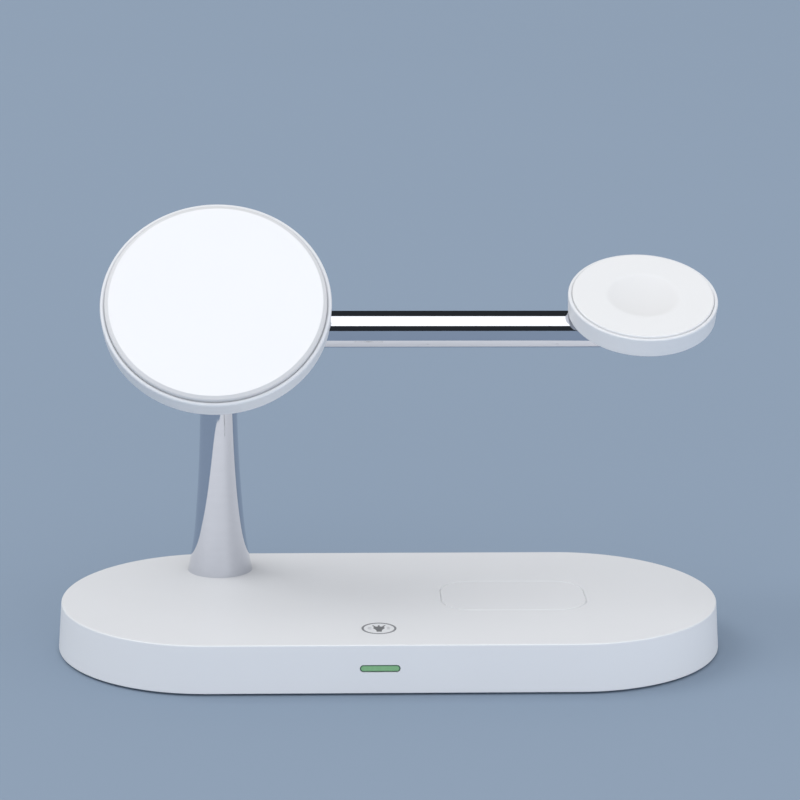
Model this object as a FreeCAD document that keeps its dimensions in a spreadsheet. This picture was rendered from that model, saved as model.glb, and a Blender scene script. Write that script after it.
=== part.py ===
import FreeCAD, Part
import math
import operator
import os

import Sketcher

# Driving sizes, in millimetres and degrees. Heights are above the table, x is to the right, y to the back.
SIZES = {
    # Base housing: a drafted stadium-shaped cover closed from below by a plate
    "base_length": 167.7,
    "base_depth": 77.6,
    "base_height": 12.0,
    "base_taper": 0.87,
    "base_wall": 2.0,
    "base_roof": 2.0,
    "top_round": 0.4,
    "plate_thick": 3.0,
    "plate_gap": 0.15,
    "foot_gap": 0.5,
    "pad_recess": 0.8,
    "pad_margin": 4.0,
    "pad_slack": 0.1,
    "pad_round": 0.3,
    # Touch key, earbuds mark and indicator window on the cover
    "control_x": -3.4,
    "key_inset": 13.3,
    "key_diameter": 8.5,
    "line_width": 0.35,
    "line_depth": 0.2,
    "mark_x": 31.4,
    "mark_y": 0.3,
    "mark_width": 37.2,
    "mark_depth": 24.0,
    "mark_round": 8.0,
    "window_length": 9.8,
    "window_height": 1.8,
    "window_z": 6.15,
    "window_flange": 1.4,
    "flange_thick": 1.2,
    # Small gap of every fitted piece, and of every turning one
    "fit_gap": 0.1,
    "run_gap": 0.05,
    "press_gap": 0.02,
    # Screws that hold the bottom plate to the cover's bosses
    "end_screw_reach": 24.0,
    "end_screw_y": 14.0,
    "mid_screw_x": 14.0,
    "mid_screw_inset": 7.93,
    "boss_radius": 2.8,
    "screw_radius": 1.1,
    "screw_length": 5.5,
    "screw_head_radius": 2.1,
    "screw_head_height": 1.0,
    "head_slack": 0.2,
    # Circuit board, its supports and the power inlet
    "board_x": -7.0,
    "board_front_gap": 4.43,
    "board_back_gap": 1.43,
    "board_width": 34.0,
    "board_thick": 1.2,
    "board_round": 2.0,
    "standoff_height": 0.8,
    "standoff_radius": 2.2,
    "stake_radius": 1.0,
    "stake_height": 0.5,
    "stake_inset": 3.6,
    "inlet_width": 8.94,
    "inlet_height": 3.26,
    "inlet_sheet": 0.3,
    "inlet_length": 7.4,
    "inlet_block": 1.8,
    "tongue_width": 6.7,
    "tongue_thick": 0.7,
    "tongue_reach": 4.6,
    "chip_size": 6.0,
    "chip_height": 0.9,
    "choke_size": 10.0,
    "choke_height": 3.4,
    "choke_round": 1.5,
    "led_width": 1.6,
    "led_depth": 1.0,
    "led_height": 1.8,
    "led_pitch": 3.2,
    "led_gap": 0.2,
    "electrode_thick": 0.4,
    "foam_radius": 3.0,
    # Earbuds charging coil, pressed against the cover by a ring on the plate
    "ear_coil_radius": 17.0,
    "ear_coil_hole": 8.5,
    "ear_coil_thick": 1.2,
    "ear_ferrite_radius": 18.5,
    "ear_ferrite_thick": 0.8,
    "ring_radius": 14.0,
    "ring_wall": 2.0,
    # Steel weight in the base, between the end screws, the board, the post's washer and the front wall
    "weight_gap": 1.0,
    "weight_front_gap": 10.0,
    "weight_thick": 5.0,
    "weight_round": 5.0,
    # Post: a flared foot, a slim neck and a threaded stub clamped by a nut inside the base
    "post_x": -43.8,
    "post_inset": 14.5,
    "foot_radius": 8.5,
    "waist_radius": 6.42,
    "waist_height": 12.7,
    "neck_height": 50.0,
    "stub_radius": 4.0,
    "stub_length": 6.5,
    "wire_bore": 2.4,
    "washer_radius": 8.0,
    "washer_thick": 1.0,
    "nut_flats": 13.0,
    "nut_height": 3.0,
    # Cross arm: a tube that carries both heads
    "arm_height": 76.7,
    "arm_radius": 4.75,
    "arm_wall": 1.0,
    "arm_overhang": 14.5,
    "cap_thick": 1.6,
    "cap_round": 1.0,
    "cap_plug": 5.0,
    "cable_radius": 0.6,
    "cable_bend": 2.5,
    "cable_slack": 0.4,
    "slot_margin": 16.0,
    # Phone head: a round cup with two hinge ears, clamped to the arm on both sides of the post
    "phone_recline": 40.9,
    "phone_lay_back": 29.1,
    "phone_offset": 13.83,
    "phone_rim_radius": 29.25,
    "phone_back_radius": 29.05,
    "phone_wall_height": 5.82,
    "phone_back_round": 0.9,
    "rim_round": 0.25,
    "phone_floor": 1.5,
    "phone_pad_radius": 27.95,
    "phone_pad_raise": 1.23,
    "phone_pad_seat": 0.9,
    "phone_pad_gap": 0.2,
    "phone_pad_round": 1.0,
    "phone_ledge": 1.3,
    "ear_inner": 5.5,
    "ear_width": 7.0,
    "ear_half": 8.2,
    "ear_flare": 2.5,
    "ear_round": 0.6,
    "clamp_gap": 0.3,
    "clamp_screw_y": 6.6,
    "clamp_screw_radius": 0.8,
    "clamp_screw_length": 10.0,
    "clamp_head_radius": 1.4,
    "clamp_head_height": 1.0,
    "clamp_seat": 4.0,
    "magnet_width": 3.6,
    "magnet_thick": 2.2,
    "magnet_count": 16,
    "magnet_span": 18.0,
    "magnet_gap": 0.15,
    "phone_coil_radius": 21.5,
    "phone_coil_hole": 10.0,
    "phone_coil_thick": 1.4,
    "phone_ferrite_thick": 0.9,
    "lead_start": 1.5,
    # Watch head: a smaller cup with a hinge barrel that turns on a pin in the arm's end
    "watch_x": 65.1,
    "watch_recline": 66.1,
    "watch_offset": 10.31,
    "watch_rim_radius": 19.2,
    "watch_back_radius": 18.9,
    "watch_wall_height": 5.4,
    "watch_back_round": 0.5,
    "watch_floor": 1.4,
    "watch_face_radius": 18.05,
    "watch_face_raise": 0.4,
    "watch_face_seat": 0.9,
    "watch_face_gap": 0.12,
    "watch_face_round": 0.35,
    "watch_ledge": 1.0,
    "dish_radius": 9.5,
    "dish_depth": 0.9,
    "dish_blend": 6.0,
    "barrel_start": -8.0,
    "barrel_end": 9.0,
    "barrel_radius": 4.75,
    "barrel_web": 3.2,
    "barrel_round": 0.8,
    "pin_radius": 2.6,
    "pin_bore": 1.3,
    "pin_grip": 12.0,
    "bush_length": 10.0,
    "spacer_thick": 0.5,
    "clip_radius": 3.4,
    "clip_thick": 0.6,
    "clip_groove": 0.5,
    "clip_gap": 0.1,
    "pin_tail": 1.0,
    "watch_coil_radius": 14.0,
    "watch_coil_hole": 7.0,
    "watch_coil_thick": 1.2,
    "watch_ferrite_thick": 0.7,
    "watch_magnet_radius": 5.5,
    "watch_magnet_thick": 1.6,
}

# Numbers that a sketch gives to the points of a line or arc, and to its own axes
START, END, CENTRE = range(1, 4)
H_AXIS, V_AXIS = range(-1, -3, -1)
UP = FreeCAD.Vector(0, 0, 1)
RIGHT = FreeCAD.Vector(1, 0, 0)
OPERATIONS = {"+": operator.add, "-": operator.sub, "*": operator.mul, "/": operator.truediv}


class Size:
    """A length or angle: the formula that binds it to the sheet, and its value now."""

    def __init__(self, formula, value):
        self.formula = formula
        self.value = value

    def __add__(self, other):
        return combine(self, "+", other)

    def __radd__(self, other):
        return combine(other, "+", self)

    def __sub__(self, other):
        return combine(self, "-", other)

    def __rsub__(self, other):
        return combine(other, "-", self)

    def __mul__(self, other):
        return combine(self, "*", other)

    def __rmul__(self, other):
        return combine(other, "*", self)

    def __truediv__(self, other):
        return combine(self, "/", other)

    def __neg__(self):
        return Size(f"(-{self.formula})", -self.value)


def as_size(term):
    return term if isinstance(term, Size) else Size(repr(float(term)), float(term))


def combine(left, sign, right):
    a, b = as_size(left), as_size(right)
    return Size(f"({a.formula} {sign} {b.formula})", OPERATIONS[sign](a.value, b.value))


def arc_tangent(term):
    return Size(f"atan({term.formula})", math.degrees(math.atan(term.value)))


def sine(angle):
    return Size(f"sin({angle.formula} * 1 deg)", math.sin(math.radians(angle.value)))


def cosine(angle):
    return Size(f"cos({angle.formula} * 1 deg)", math.cos(math.radians(angle.value)))


def leg(longest, other):
    """Third side of a right-angled triangle."""
    a, b = longest.formula, other.formula
    return Size(f"sqrt({a} * {a} - {b} * {b})", math.sqrt(longest.value ** 2 - other.value ** 2))


class Sheet:
    """The driving sizes as a spreadsheet, each one read as an attribute."""

    def __init__(self, document, sizes):
        self.cells = document.addObject("Spreadsheet::Sheet", "Sheet")
        for row, (alias, value) in enumerate(sizes.items(), 1):
            self.cells.set(f"A{row}", alias.replace("_", " "))
            self.cells.set(f"B{row}", str(value))
            self.cells.setAlias(f"B{row}", alias)
        document.recompute()

    def __getattr__(self, alias):
        return Size(f"Sheet.{alias}", float(self.cells.get(alias)))


doc = FreeCAD.newDocument("wireless_charger")
s = Sheet(doc, SIZES)
sub_parts = []


# Sketches and features

def bind(item, path, term):
    item.setExpression(path, as_size(term).formula)


def new_body(label, place=(0, 0, 0), lean=None):
    """A body at a place; a lean turns it about the x axis, from face up towards the front."""
    body = doc.addObject("PartDesign::Body", label)
    body.Label = label
    body.AllowCompound = True
    if lean is not None:
        body.Placement.Rotation = FreeCAD.Rotation(RIGHT, lean.value)
        bind(body, "Placement.Rotation.Angle", lean)
    for axis, term in zip("xyz", place):
        bind(body, f"Placement.Base.{axis}", term)
    sub_parts.append(body)
    return body


def new_sketch(body, plane="XY_Plane", level=0):
    """A sketch on one of the body's own planes, moved along the plane's normal to a level."""
    sketch = body.newObject("Sketcher::SketchObject", "sketch")
    support = next(item for item in body.Origin.OriginFeatures if item.Role == plane)
    sketch.AttachmentSupport = [(support, "")]
    sketch.MapMode = "FlatFace"
    bind(sketch, "AttachmentOffset.Base.z", level)
    return sketch


def dimension(sketch, kind, term, *where):
    size = as_size(term)
    number = sketch.addConstraint(Sketcher.Constraint(kind, *where, size.value))
    sketch.setExpression(f"Constraints[{number}]", size.formula)


def pin(sketch, geometry, position, x, y):
    """Fixes one point at x, y from the sketch's origin."""
    dimension(sketch, "DistanceX", x, H_AXIS, START, geometry, position)
    dimension(sketch, "DistanceY", y, H_AXIS, START, geometry, position)


def flat(x, y):
    return FreeCAD.Vector(as_size(x).value, as_size(y).value, 0)


def line(sketch, start, end):
    return sketch.addGeometry(Part.LineSegment(flat(*start), flat(*end)), False)


def arc(sketch, centre, radius, first, last):
    circle_of_arc = Part.Circle(flat(*centre), UP, as_size(radius).value)
    turn = Part.ArcOfCircle(circle_of_arc, math.radians(first), math.radians(last))
    return sketch.addGeometry(turn, False)


def circle(sketch, x, y, radius):
    number = sketch.addGeometry(Part.Circle(flat(x, y), UP, as_size(radius).value), False)
    pin(sketch, number, CENTRE, x, y)
    dimension(sketch, "Radius", radius, number)


def ring(sketch, x, y, outer, inner):
    circle(sketch, x, y, outer)
    circle(sketch, x, y, inner)


def join_smoothly(sketch, pieces):
    """Closes a loop of lines and arcs so that each one runs on tangent into the next."""
    for piece, following in zip(pieces, pieces[1:] + pieces[:1]):
        sketch.addConstraint(Sketcher.Constraint("Tangent", piece, END, following, START))


def stadium(sketch, length, width, x=0, y=0):
    """Two half circles joined by straight sides along the sketch's first axis."""
    radius, reach = width / 2, (length - width) / 2
    bottom = line(sketch, (x - reach, y - radius), (x + reach, y - radius))
    right = arc(sketch, (x + reach, y), radius, -90, 90)
    top = line(sketch, (x + reach, y + radius), (x - reach, y + radius))
    left = arc(sketch, (x - reach, y), radius, 90, 270)
    join_smoothly(sketch, [bottom, right, top, left])
    pin(sketch, right, CENTRE, x + reach, y)
    pin(sketch, left, CENTRE, x - reach, y)
    dimension(sketch, "Radius", radius, right)
    sketch.addConstraint(Sketcher.Constraint("Equal", right, left))


def rounded_rectangle(sketch, x, y, width, depth, radius):
    """Four straight sides joined by quarter circles."""
    w, d = width / 2, depth / 2
    u, v = w - radius, d - radius
    bottom = line(sketch, (x - u, y - d), (x + u, y - d))
    corner_a = arc(sketch, (x + u, y - v), radius, -90, 0)
    right = line(sketch, (x + w, y - v), (x + w, y + v))
    corner_b = arc(sketch, (x + u, y + v), radius, 0, 90)
    top = line(sketch, (x + u, y + d), (x - u, y + d))
    corner_c = arc(sketch, (x - u, y + v), radius, 90, 180)
    left = line(sketch, (x - w, y + v), (x - w, y - v))
    corner_d = arc(sketch, (x - u, y - v), radius, 180, 270)
    join_smoothly(sketch, [bottom, corner_a, right, corner_b, top, corner_c, left, corner_d])
    for side in (bottom, top):
        sketch.addConstraint(Sketcher.Constraint("Horizontal", side))
    for side in (right, left):
        sketch.addConstraint(Sketcher.Constraint("Vertical", side))
    for corner in (corner_b, corner_c, corner_d):
        sketch.addConstraint(Sketcher.Constraint("Equal", corner_a, corner))
    dimension(sketch, "Radius", radius, corner_a)
    pin(sketch, corner_d, CENTRE, x - u, y - v)
    pin(sketch, corner_b, CENTRE, x + u, y + v)


def polygon(sketch, points):
    """Closed outline of straight sides through points, each one a pair of sizes."""
    sides = [line(sketch, a, b) for a, b in zip(points, points[1:] + points[:1])]
    for side, following in zip(sides, sides[1:] + sides[:1]):
        sketch.addConstraint(Sketcher.Constraint("Coincident", side, END, following, START))
    for side, point in zip(sides, points):
        pin(sketch, side, START, *point)
    return sides


def rectangle(sketch, x, y, width, depth):
    w, d = width / 2, depth / 2
    polygon(sketch, [(x - w, y - d), (x + w, y - d), (x + w, y + d), (x - w, y + d)])


def add_feature(body, kind, sketch, **settings):
    feature = body.newObject(f"PartDesign::{kind}", kind.lower())
    feature.Profile = sketch
    for name, setting in settings.items():
        if isinstance(setting, Size):
            bind(feature, name, setting)
        else:
            setattr(feature, name, setting)
    return feature


def pad(body, sketch, length, **settings):
    feature = add_feature(body, "Pad", sketch, Length=as_size(length), **settings)
    doc.recompute()
    return feature


def cut(body, sketch, depth=None, **settings):
    """A pocket to a depth, or right through; it has to take material away."""
    doc.recompute()
    before = body.Shape.Volume
    extent = {"Type": "ThroughAll"} if depth is None else {"Length": as_size(depth)}
    add_feature(body, "Pocket", sketch, **extent, **settings)
    doc.recompute()
    assert body.Shape.Volume < before, f"{body.Label}: a pocket misses the solid"


def turn(body, sketch, axis="V_Axis", kind="Revolution", **settings):
    feature = add_feature(body, kind, sketch, ReferenceAxis=(sketch, [axis]), **settings)
    doc.recompute()
    return feature


def round_edges(body, test, radius, kind="Fillet", size="Radius"):
    """Rounds, or chamfers, the edges whose middle point passes a test."""
    doc.recompute()
    tip = body.Tip
    names = [
        f"Edge{number}"
        for number, edge in enumerate(tip.Shape.Edges, 1)
        if test(edge, edge.valueAt((edge.FirstParameter + edge.LastParameter) / 2))
    ]
    assert names, f"{body.Label}: no edge to round"
    feature = body.newObject(f"PartDesign::{kind}", kind.lower())
    feature.Base = (tip, names)
    bind(feature, size, radius)
    doc.recompute()


def close_to(a, b):
    return abs(a - b) < 1e-4


def at_level(level):
    return lambda edge, middle: close_to(middle.z, as_size(level).value)


def disc(label, place, radius, height, hole=None, lean=None, level=0):
    """A round plate or ring, padded up from a level of its own frame."""
    body = new_body(label, place, lean)
    sketch = new_sketch(body, level=level)
    circle(sketch, 0, 0, radius)
    if hole is not None:
        circle(sketch, 0, 0, hole)
    pad(body, sketch, height)
    return body


def turned(label, points, place, lean=None, axis="V_Axis"):
    """A body turned from a closed outline of radius and height."""
    body = new_body(label, place, lean)
    sketch = new_sketch(body, "XZ_Plane")
    polygon(sketch, points)
    turn(body, sketch, axis)
    return body


# Levels and places that several pieces share

wall_foot = s.foot_gap
base_top = s.foot_gap + s.base_height
roof_under = base_top - s.base_roof
plate_top = s.foot_gap + s.plate_thick
room = s.base_height - s.base_roof - s.plate_thick
key_y = s.key_inset - s.base_depth / 2
post_y = s.base_depth / 2 - s.post_inset
board_under = plate_top + s.standoff_height
board_top = board_under + s.board_thick

top_depth = s.base_depth - 2 * s.base_taper
inner_length = s.base_length - 2 * (s.base_taper + s.base_wall)
inner_depth = s.base_depth - 2 * (s.base_taper + s.base_wall)
plate_length = inner_length - 2 * s.plate_gap
plate_depth = inner_depth - 2 * s.plate_gap
recess_length = plate_length - 2 * s.pad_margin
recess_depth = plate_depth - 2 * s.pad_margin

end_screw_x = (s.base_length - s.base_depth) / 2 + s.end_screw_reach
mid_screw_y = inner_depth / 2 - s.mid_screw_inset
screw_places = [
    (end_screw_x, s.end_screw_y), (end_screw_x, -s.end_screw_y),
    (-end_screw_x, s.end_screw_y), (-end_screw_x, -s.end_screw_y),
    (s.mid_screw_x, mid_screw_y), (s.mid_screw_x, -mid_screw_y),
]
board_front = s.board_front_gap - inner_depth / 2
board_left = s.board_x - s.board_width / 2
board_depth = inner_depth - s.board_front_gap - s.board_back_gap
board_y = (s.board_front_gap - s.board_back_gap) / 2
stake_x = s.board_width / 2 - s.stake_inset
stake_y = board_depth / 2 - s.stake_inset
stake_places = [(s.board_x + i * stake_x, board_y + j * stake_y) for i in (-1, 1) for j in (-1, 1)]
inlet_z = board_top + s.inlet_height / 2
inlet_mouth = top_depth / 2

phone_hinge = (s.post_x, post_y, s.arm_height)
phone_lean = 90 - s.phone_recline
phone_back = s.phone_offset - s.phone_wall_height
phone_inside = phone_back + s.phone_floor
phone_seat = s.phone_offset - s.phone_pad_seat
phone_bore = s.phone_pad_radius + s.phone_pad_gap
phone_room = phone_bore - s.phone_ledge
saddle_radius = s.arm_radius + s.run_gap
ear_middle = s.ear_inner + s.ear_width / 2
clamp_places = [(i * ear_middle, j * s.clamp_screw_y) for i in (-1, 1) for j in (-1, 1)]

watch_hinge = (s.watch_x, post_y, s.arm_height)
watch_lean = 90 - s.watch_recline
watch_back = s.watch_offset - s.watch_wall_height
watch_inside = watch_back + s.watch_floor
watch_seat = s.watch_offset - s.watch_face_seat
watch_bore = s.watch_face_radius + s.watch_face_gap
watch_room = watch_bore - s.watch_ledge
arm_end = s.barrel_start - s.spacer_thick - s.run_gap
arm_bore = s.arm_radius - s.arm_wall
clip_x = arm_end - s.bush_length - s.clip_gap - s.clip_thick
pin_tail_x = clip_x - s.pin_tail
lead_x = s.barrel_start + s.pin_grip + s.cable_bend / 2


# Base

def make_base_cover():
    body = new_body("base_top_cover", (0, 0, wall_foot))
    outline = new_sketch(body)
    stadium(outline, s.base_length, s.base_depth)
    draft = -arc_tangent(s.base_taper / s.base_height)
    pad(body, outline, s.base_height, TaperAngle=draft)
    round_edges(body, at_level(s.base_height), s.top_round)

    cavity = new_sketch(body)
    stadium(cavity, inner_length, inner_depth)
    cut(body, cavity, s.base_height - s.base_roof, Reversed=True)

    bosses = new_sketch(body, level=s.plate_thick)
    pilots = new_sketch(body, level=s.plate_thick)
    for place in screw_places:
        circle(bosses, *place, s.boss_radius)
        circle(pilots, *place, s.screw_radius + s.press_gap)
    pad(body, bosses, room)
    cut(body, pilots, s.screw_length, Reversed=True)

    stub_hole = new_sketch(body, level=s.base_height)
    circle(stub_hole, s.post_x, post_y, s.stub_radius + s.fit_gap)
    cut(body, stub_hole, s.base_roof)

    lines = new_sketch(body, level=s.base_height)
    key_radius = s.key_diameter / 2
    ring(lines, s.control_x, key_y, key_radius, key_radius - s.line_width)
    for inset in (0 * s.line_width, s.line_width):
        rounded_rectangle(lines, s.mark_x, s.mark_y, s.mark_width - 2 * inset,
                          s.mark_depth - 2 * inset, s.mark_round - inset)
    cut(body, lines, s.line_depth)

    window = new_sketch(body, "XZ_Plane")
    stadium(window, s.window_length, s.window_height, s.control_x, s.window_z)
    cut(body, window, Reversed=True)

    inlet = new_sketch(body, "XZ_Plane")
    stadium(inlet, s.inlet_width + 2 * s.fit_gap, s.inlet_height + 2 * s.fit_gap,
            s.control_x, inlet_z - wall_foot)
    cut(body, inlet)


def make_bottom_plate():
    body = new_body("base_bottom_plate", (0, 0, wall_foot))
    outline = new_sketch(body)
    stadium(outline, plate_length, plate_depth)
    pad(body, outline, s.plate_thick)

    recess = new_sketch(body)
    stadium(recess, recess_length, recess_depth)
    cut(body, recess, s.pad_recess, Reversed=True)

    holes = new_sketch(body)
    head_seats = new_sketch(body, level=s.pad_recess)
    for place in screw_places:
        circle(holes, *place, s.screw_radius + s.fit_gap)
        circle(head_seats, *place, s.screw_head_radius + s.head_slack)
    cut(body, holes, Reversed=True)
    cut(body, head_seats, s.screw_head_height + s.head_slack, Reversed=True)

    supports = new_sketch(body, level=s.plate_thick)
    stakes = new_sketch(body, level=s.plate_thick)
    for place in stake_places:
        circle(supports, *place, s.standoff_radius)
        circle(stakes, *place, s.stake_radius)
    pad(body, supports, s.standoff_height)
    pad(body, stakes, s.standoff_height + s.board_thick + s.stake_height)

    coil_ring = new_sketch(body, level=s.plate_thick)
    ring(coil_ring, s.mark_x, s.mark_y, s.ring_radius, s.ring_radius - s.ring_wall)
    pad(body, coil_ring, room - s.ear_coil_thick - s.ear_ferrite_thick)


def make_anti_slip_pad():
    body = new_body("anti_slip_pad")
    outline = new_sketch(body)
    stadium(outline, recess_length - 2 * s.pad_slack, recess_depth - 2 * s.pad_slack)
    pad(body, outline, s.foot_gap + s.pad_recess)
    round_edges(body, at_level(0), s.pad_round)


def make_base_screws():
    """Six pan-head screws, heads down, seated in the plate's counterbores."""
    seat = s.foot_gap + s.pad_recess + s.screw_head_height + s.head_slack
    body = new_body("base_screws", (0, 0, seat))
    heads = new_sketch(body)
    shanks = new_sketch(body)
    for place in screw_places:
        circle(heads, *place, s.screw_head_radius)
        circle(shanks, *place, s.screw_radius)
    pad(body, heads, s.screw_head_height, Reversed=True)
    pad(body, shanks, s.screw_length)


def make_weight():
    left = s.boss_radius + s.weight_gap - end_screw_x
    right = board_left - s.weight_gap
    front = s.weight_front_gap - inner_depth / 2
    back = post_y - s.washer_radius - s.weight_gap
    body = new_body("counterweight", ((left + right) / 2, (front + back) / 2, plate_top))
    outline = new_sketch(body)
    rounded_rectangle(outline, 0, 0, right - left, back - front, s.weight_round)
    pad(body, outline, s.weight_thick)


def make_board():
    body = new_body("control_board", (0, 0, board_under))
    outline = new_sketch(body)
    rounded_rectangle(outline, s.board_x, board_y, s.board_width, board_depth, s.board_round)
    for place in stake_places:
        circle(outline, *place, s.stake_radius + s.fit_gap)
    pad(body, outline, s.board_thick)


def make_board_chips():
    """Three flat chips in a row along the board's middle."""
    body = new_body("driver_chips", (s.board_x, board_y, board_top))
    outlines = new_sketch(body)
    for step in (-1, 0, 1):
        rectangle(outlines, 0, 2 * step * s.chip_size, s.chip_size, s.chip_size)
    pad(body, outlines, s.chip_height)


def make_choke():
    place = (s.board_x - s.board_width / 4 - s.fit_gap, board_y, board_top)
    body = new_body("power_choke", place)
    outline = new_sketch(body)
    rounded_rectangle(outline, -s.choke_round, 0, s.choke_size - 2 * s.choke_round, s.choke_size,
                      s.choke_round)
    pad(body, outline, s.choke_height)


def make_inlet():
    """Power socket: an oval metal shell, open to the back, round a thin contact tongue."""
    shell = new_body("inlet_shell")
    section = new_sketch(shell, "XZ_Plane", -inlet_mouth)
    stadium(section, s.inlet_width, s.inlet_height, s.control_x, inlet_z)
    bore_width = s.inlet_width - 2 * s.inlet_sheet
    bore_height = s.inlet_height - 2 * s.inlet_sheet
    stadium(section, bore_width, bore_height, s.control_x, inlet_z)
    pad(shell, section, s.inlet_length)

    tongue = new_body("inlet_tongue")
    block_front = inlet_mouth - s.inlet_length + s.inlet_block
    block = new_sketch(tongue, "XZ_Plane", -block_front)
    stadium(block, bore_width - 2 * s.press_gap, bore_height - 2 * s.press_gap, s.control_x, inlet_z)
    pad(tongue, block, s.inlet_block)
    blade = new_sketch(tongue, "XZ_Plane", -block_front)
    rectangle(blade, s.control_x, inlet_z, s.tongue_width, s.tongue_thick)
    pad(tongue, blade, s.tongue_reach, Reversed=True)


def make_indicator():
    """Oval window in the front wall, one piece with its flange and light guide, and three lamps."""
    window = new_body("indicator_window")
    height = wall_foot + s.window_z
    guide_length = top_depth / 2 + board_front
    guide = new_sketch(window, "XZ_Plane", top_depth / 2)
    stadium(guide, s.window_length - 2 * s.fit_gap, s.window_height - 2 * s.fit_gap,
            s.control_x, height)
    pad(window, guide, guide_length, Reversed=True)
    flange = new_sketch(window, "XZ_Plane", inner_depth / 2)
    stadium(flange, s.window_length + 2 * s.window_flange, s.window_height + 2 * s.window_flange,
            s.control_x, height)
    pad(window, flange, s.flange_thick, Reversed=True)

    lamp_y = board_front + s.led_gap + s.led_depth / 2
    lamps = new_body("indicator_lamps", (s.control_x, lamp_y, board_top))
    outlines = new_sketch(lamps)
    for step in (-1, 0, 1):
        rectangle(outlines, step * s.led_pitch, 0 * s.led_depth, s.led_width, s.led_depth)
    pad(lamps, outlines, s.led_height)


def make_touch_sensor():
    """Electrode under the key, joined to the board by a column of conductive foam."""
    electrode_under = roof_under - s.electrode_thick
    disc("touch_electrode", (s.control_x, key_y, electrode_under), s.key_diameter / 2,
         s.electrode_thick)
    disc("touch_foam", (s.control_x, key_y, board_top), s.foam_radius, electrode_under - board_top)


def make_earbuds_coil():
    coil_under = roof_under - s.ear_coil_thick
    disc("earbuds_coil", (s.mark_x, s.mark_y, coil_under), s.ear_coil_radius, s.ear_coil_thick,
         s.ear_coil_hole)
    disc("earbuds_ferrite", (s.mark_x, s.mark_y, coil_under - s.ear_ferrite_thick),
         s.ear_ferrite_radius, s.ear_ferrite_thick)


# Stand

def make_post():
    """Two tangent arcs sweep the flared foot into a straight neck; the top is coped to the arm."""
    body = new_body("stand_post", (s.post_x, post_y, base_top))
    axis_height = s.arm_height - base_top
    top = axis_height - s.arm_radius / 3
    neck = s.arm_radius
    profile = new_sketch(body, "XZ_Plane")
    corners = [
        (neck, s.neck_height), (neck, top), (s.wire_bore, top), (s.wire_bore, -s.stub_length),
        (s.stub_radius, -s.stub_length), (s.stub_radius, 0), (s.foot_radius, 0),
    ]
    sides = [line(profile, a, b) for a, b in zip(corners, corners[1:])]
    for side, following in zip(sides, sides[1:]):
        profile.addConstraint(Sketcher.Constraint("Coincident", side, END, following, START))
    for side, corner in zip(sides, corners):
        pin(profile, side, START, *corner)
    pin(profile, sides[-1], END, *corners[-1])
    waist = (s.waist_radius, s.waist_height)
    shoulder, centre = arc_between(profile, corners[0], waist, FreeCAD.Vector(1, 0, 0))
    flare, _ = arc_between(profile, waist, corners[-1], centre - flat(*waist))
    profile.addConstraint(Sketcher.Constraint("Tangent", shoulder, START, sides[0], START))
    profile.addConstraint(Sketcher.Constraint("Tangent", flare, START, shoulder, END))
    profile.addConstraint(Sketcher.Constraint("Coincident", flare, END, sides[-1], END))
    pin(profile, flare, START, *waist)
    turn(body, profile)

    cope = new_sketch(body, "YZ_Plane")
    circle(cope, 0, axis_height, s.arm_radius + s.press_gap)
    cut(body, cope, Midplane=True)


def arc_between(sketch, start, end, towards):
    """Arc from start to end about a centre that lies from start in a direction; also that centre."""
    a, b = flat(*start), flat(*end)
    towards.normalize()
    radius = (b - a).Length ** 2 / (2 * towards.dot(b - a))
    centre = a + towards * radius
    angles = [math.atan2((point - centre).y, (point - centre).x) for point in (a, b)]
    curve = Part.ArcOfCircle(Part.Circle(centre, UP, radius), *angles)
    return sketch.addGeometry(curve, False), centre


def make_post_fixing():
    washer_under = roof_under - s.washer_thick
    disc("post_washer", (s.post_x, post_y, washer_under), s.washer_radius, s.washer_thick,
         s.stub_radius + s.fit_gap)
    nut = new_body("post_nut", (s.post_x, post_y, washer_under - s.nut_height))
    outline = new_sketch(nut)
    corner = s.nut_flats / math.sqrt(3)
    turns = [math.radians(60 * step) for step in range(6)]
    polygon(outline, [(corner * math.cos(turn_by), corner * math.sin(turn_by)) for turn_by in turns])
    circle(outline, 0, 0, s.stub_radius + s.press_gap)
    pad(nut, outline, s.nut_height)


def make_arm():
    body = new_body("cross_arm", phone_hinge)
    section = new_sketch(body, "YZ_Plane", -s.arm_overhang)
    ring(section, 0, 0, s.arm_radius, arm_bore)
    pad(body, section, s.arm_overhang + s.watch_x + arm_end - s.post_x)
    wire_hole = new_sketch(body)
    circle(wire_hole, 0, 0, s.wire_bore)
    cut(body, wire_hole)
    lead_slot = new_sketch(body, "YZ_Plane")
    reach = 2 * s.arm_radius
    first, last = phone_lean - s.phone_lay_back - s.slot_margin, 90 + s.slot_margin
    polygon(lead_slot, [
        (0, 0), (-reach * sine(first), reach * cosine(first)), (-reach * sine(last), reach * cosine(last)),
    ])
    cut(body, lead_slot, 2 * (s.cable_radius + s.cable_slack), Midplane=True)

    plug_radius = arm_bore - s.press_gap
    cap_points = [
        (-s.arm_overhang - s.cap_thick, 0), (-s.arm_overhang - s.cap_thick, s.arm_radius),
        (-s.arm_overhang, s.arm_radius), (-s.arm_overhang, plug_radius),
        (s.cap_plug - s.arm_overhang, plug_radius), (s.cap_plug - s.arm_overhang, 0),
    ]
    cap = turned("arm_end_cap", cap_points, phone_hinge, axis="H_Axis")
    cap_face = (-s.arm_overhang - s.cap_thick).value
    round_edges(cap, lambda edge, middle: close_to(middle.x, cap_face), s.cap_round)


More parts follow.
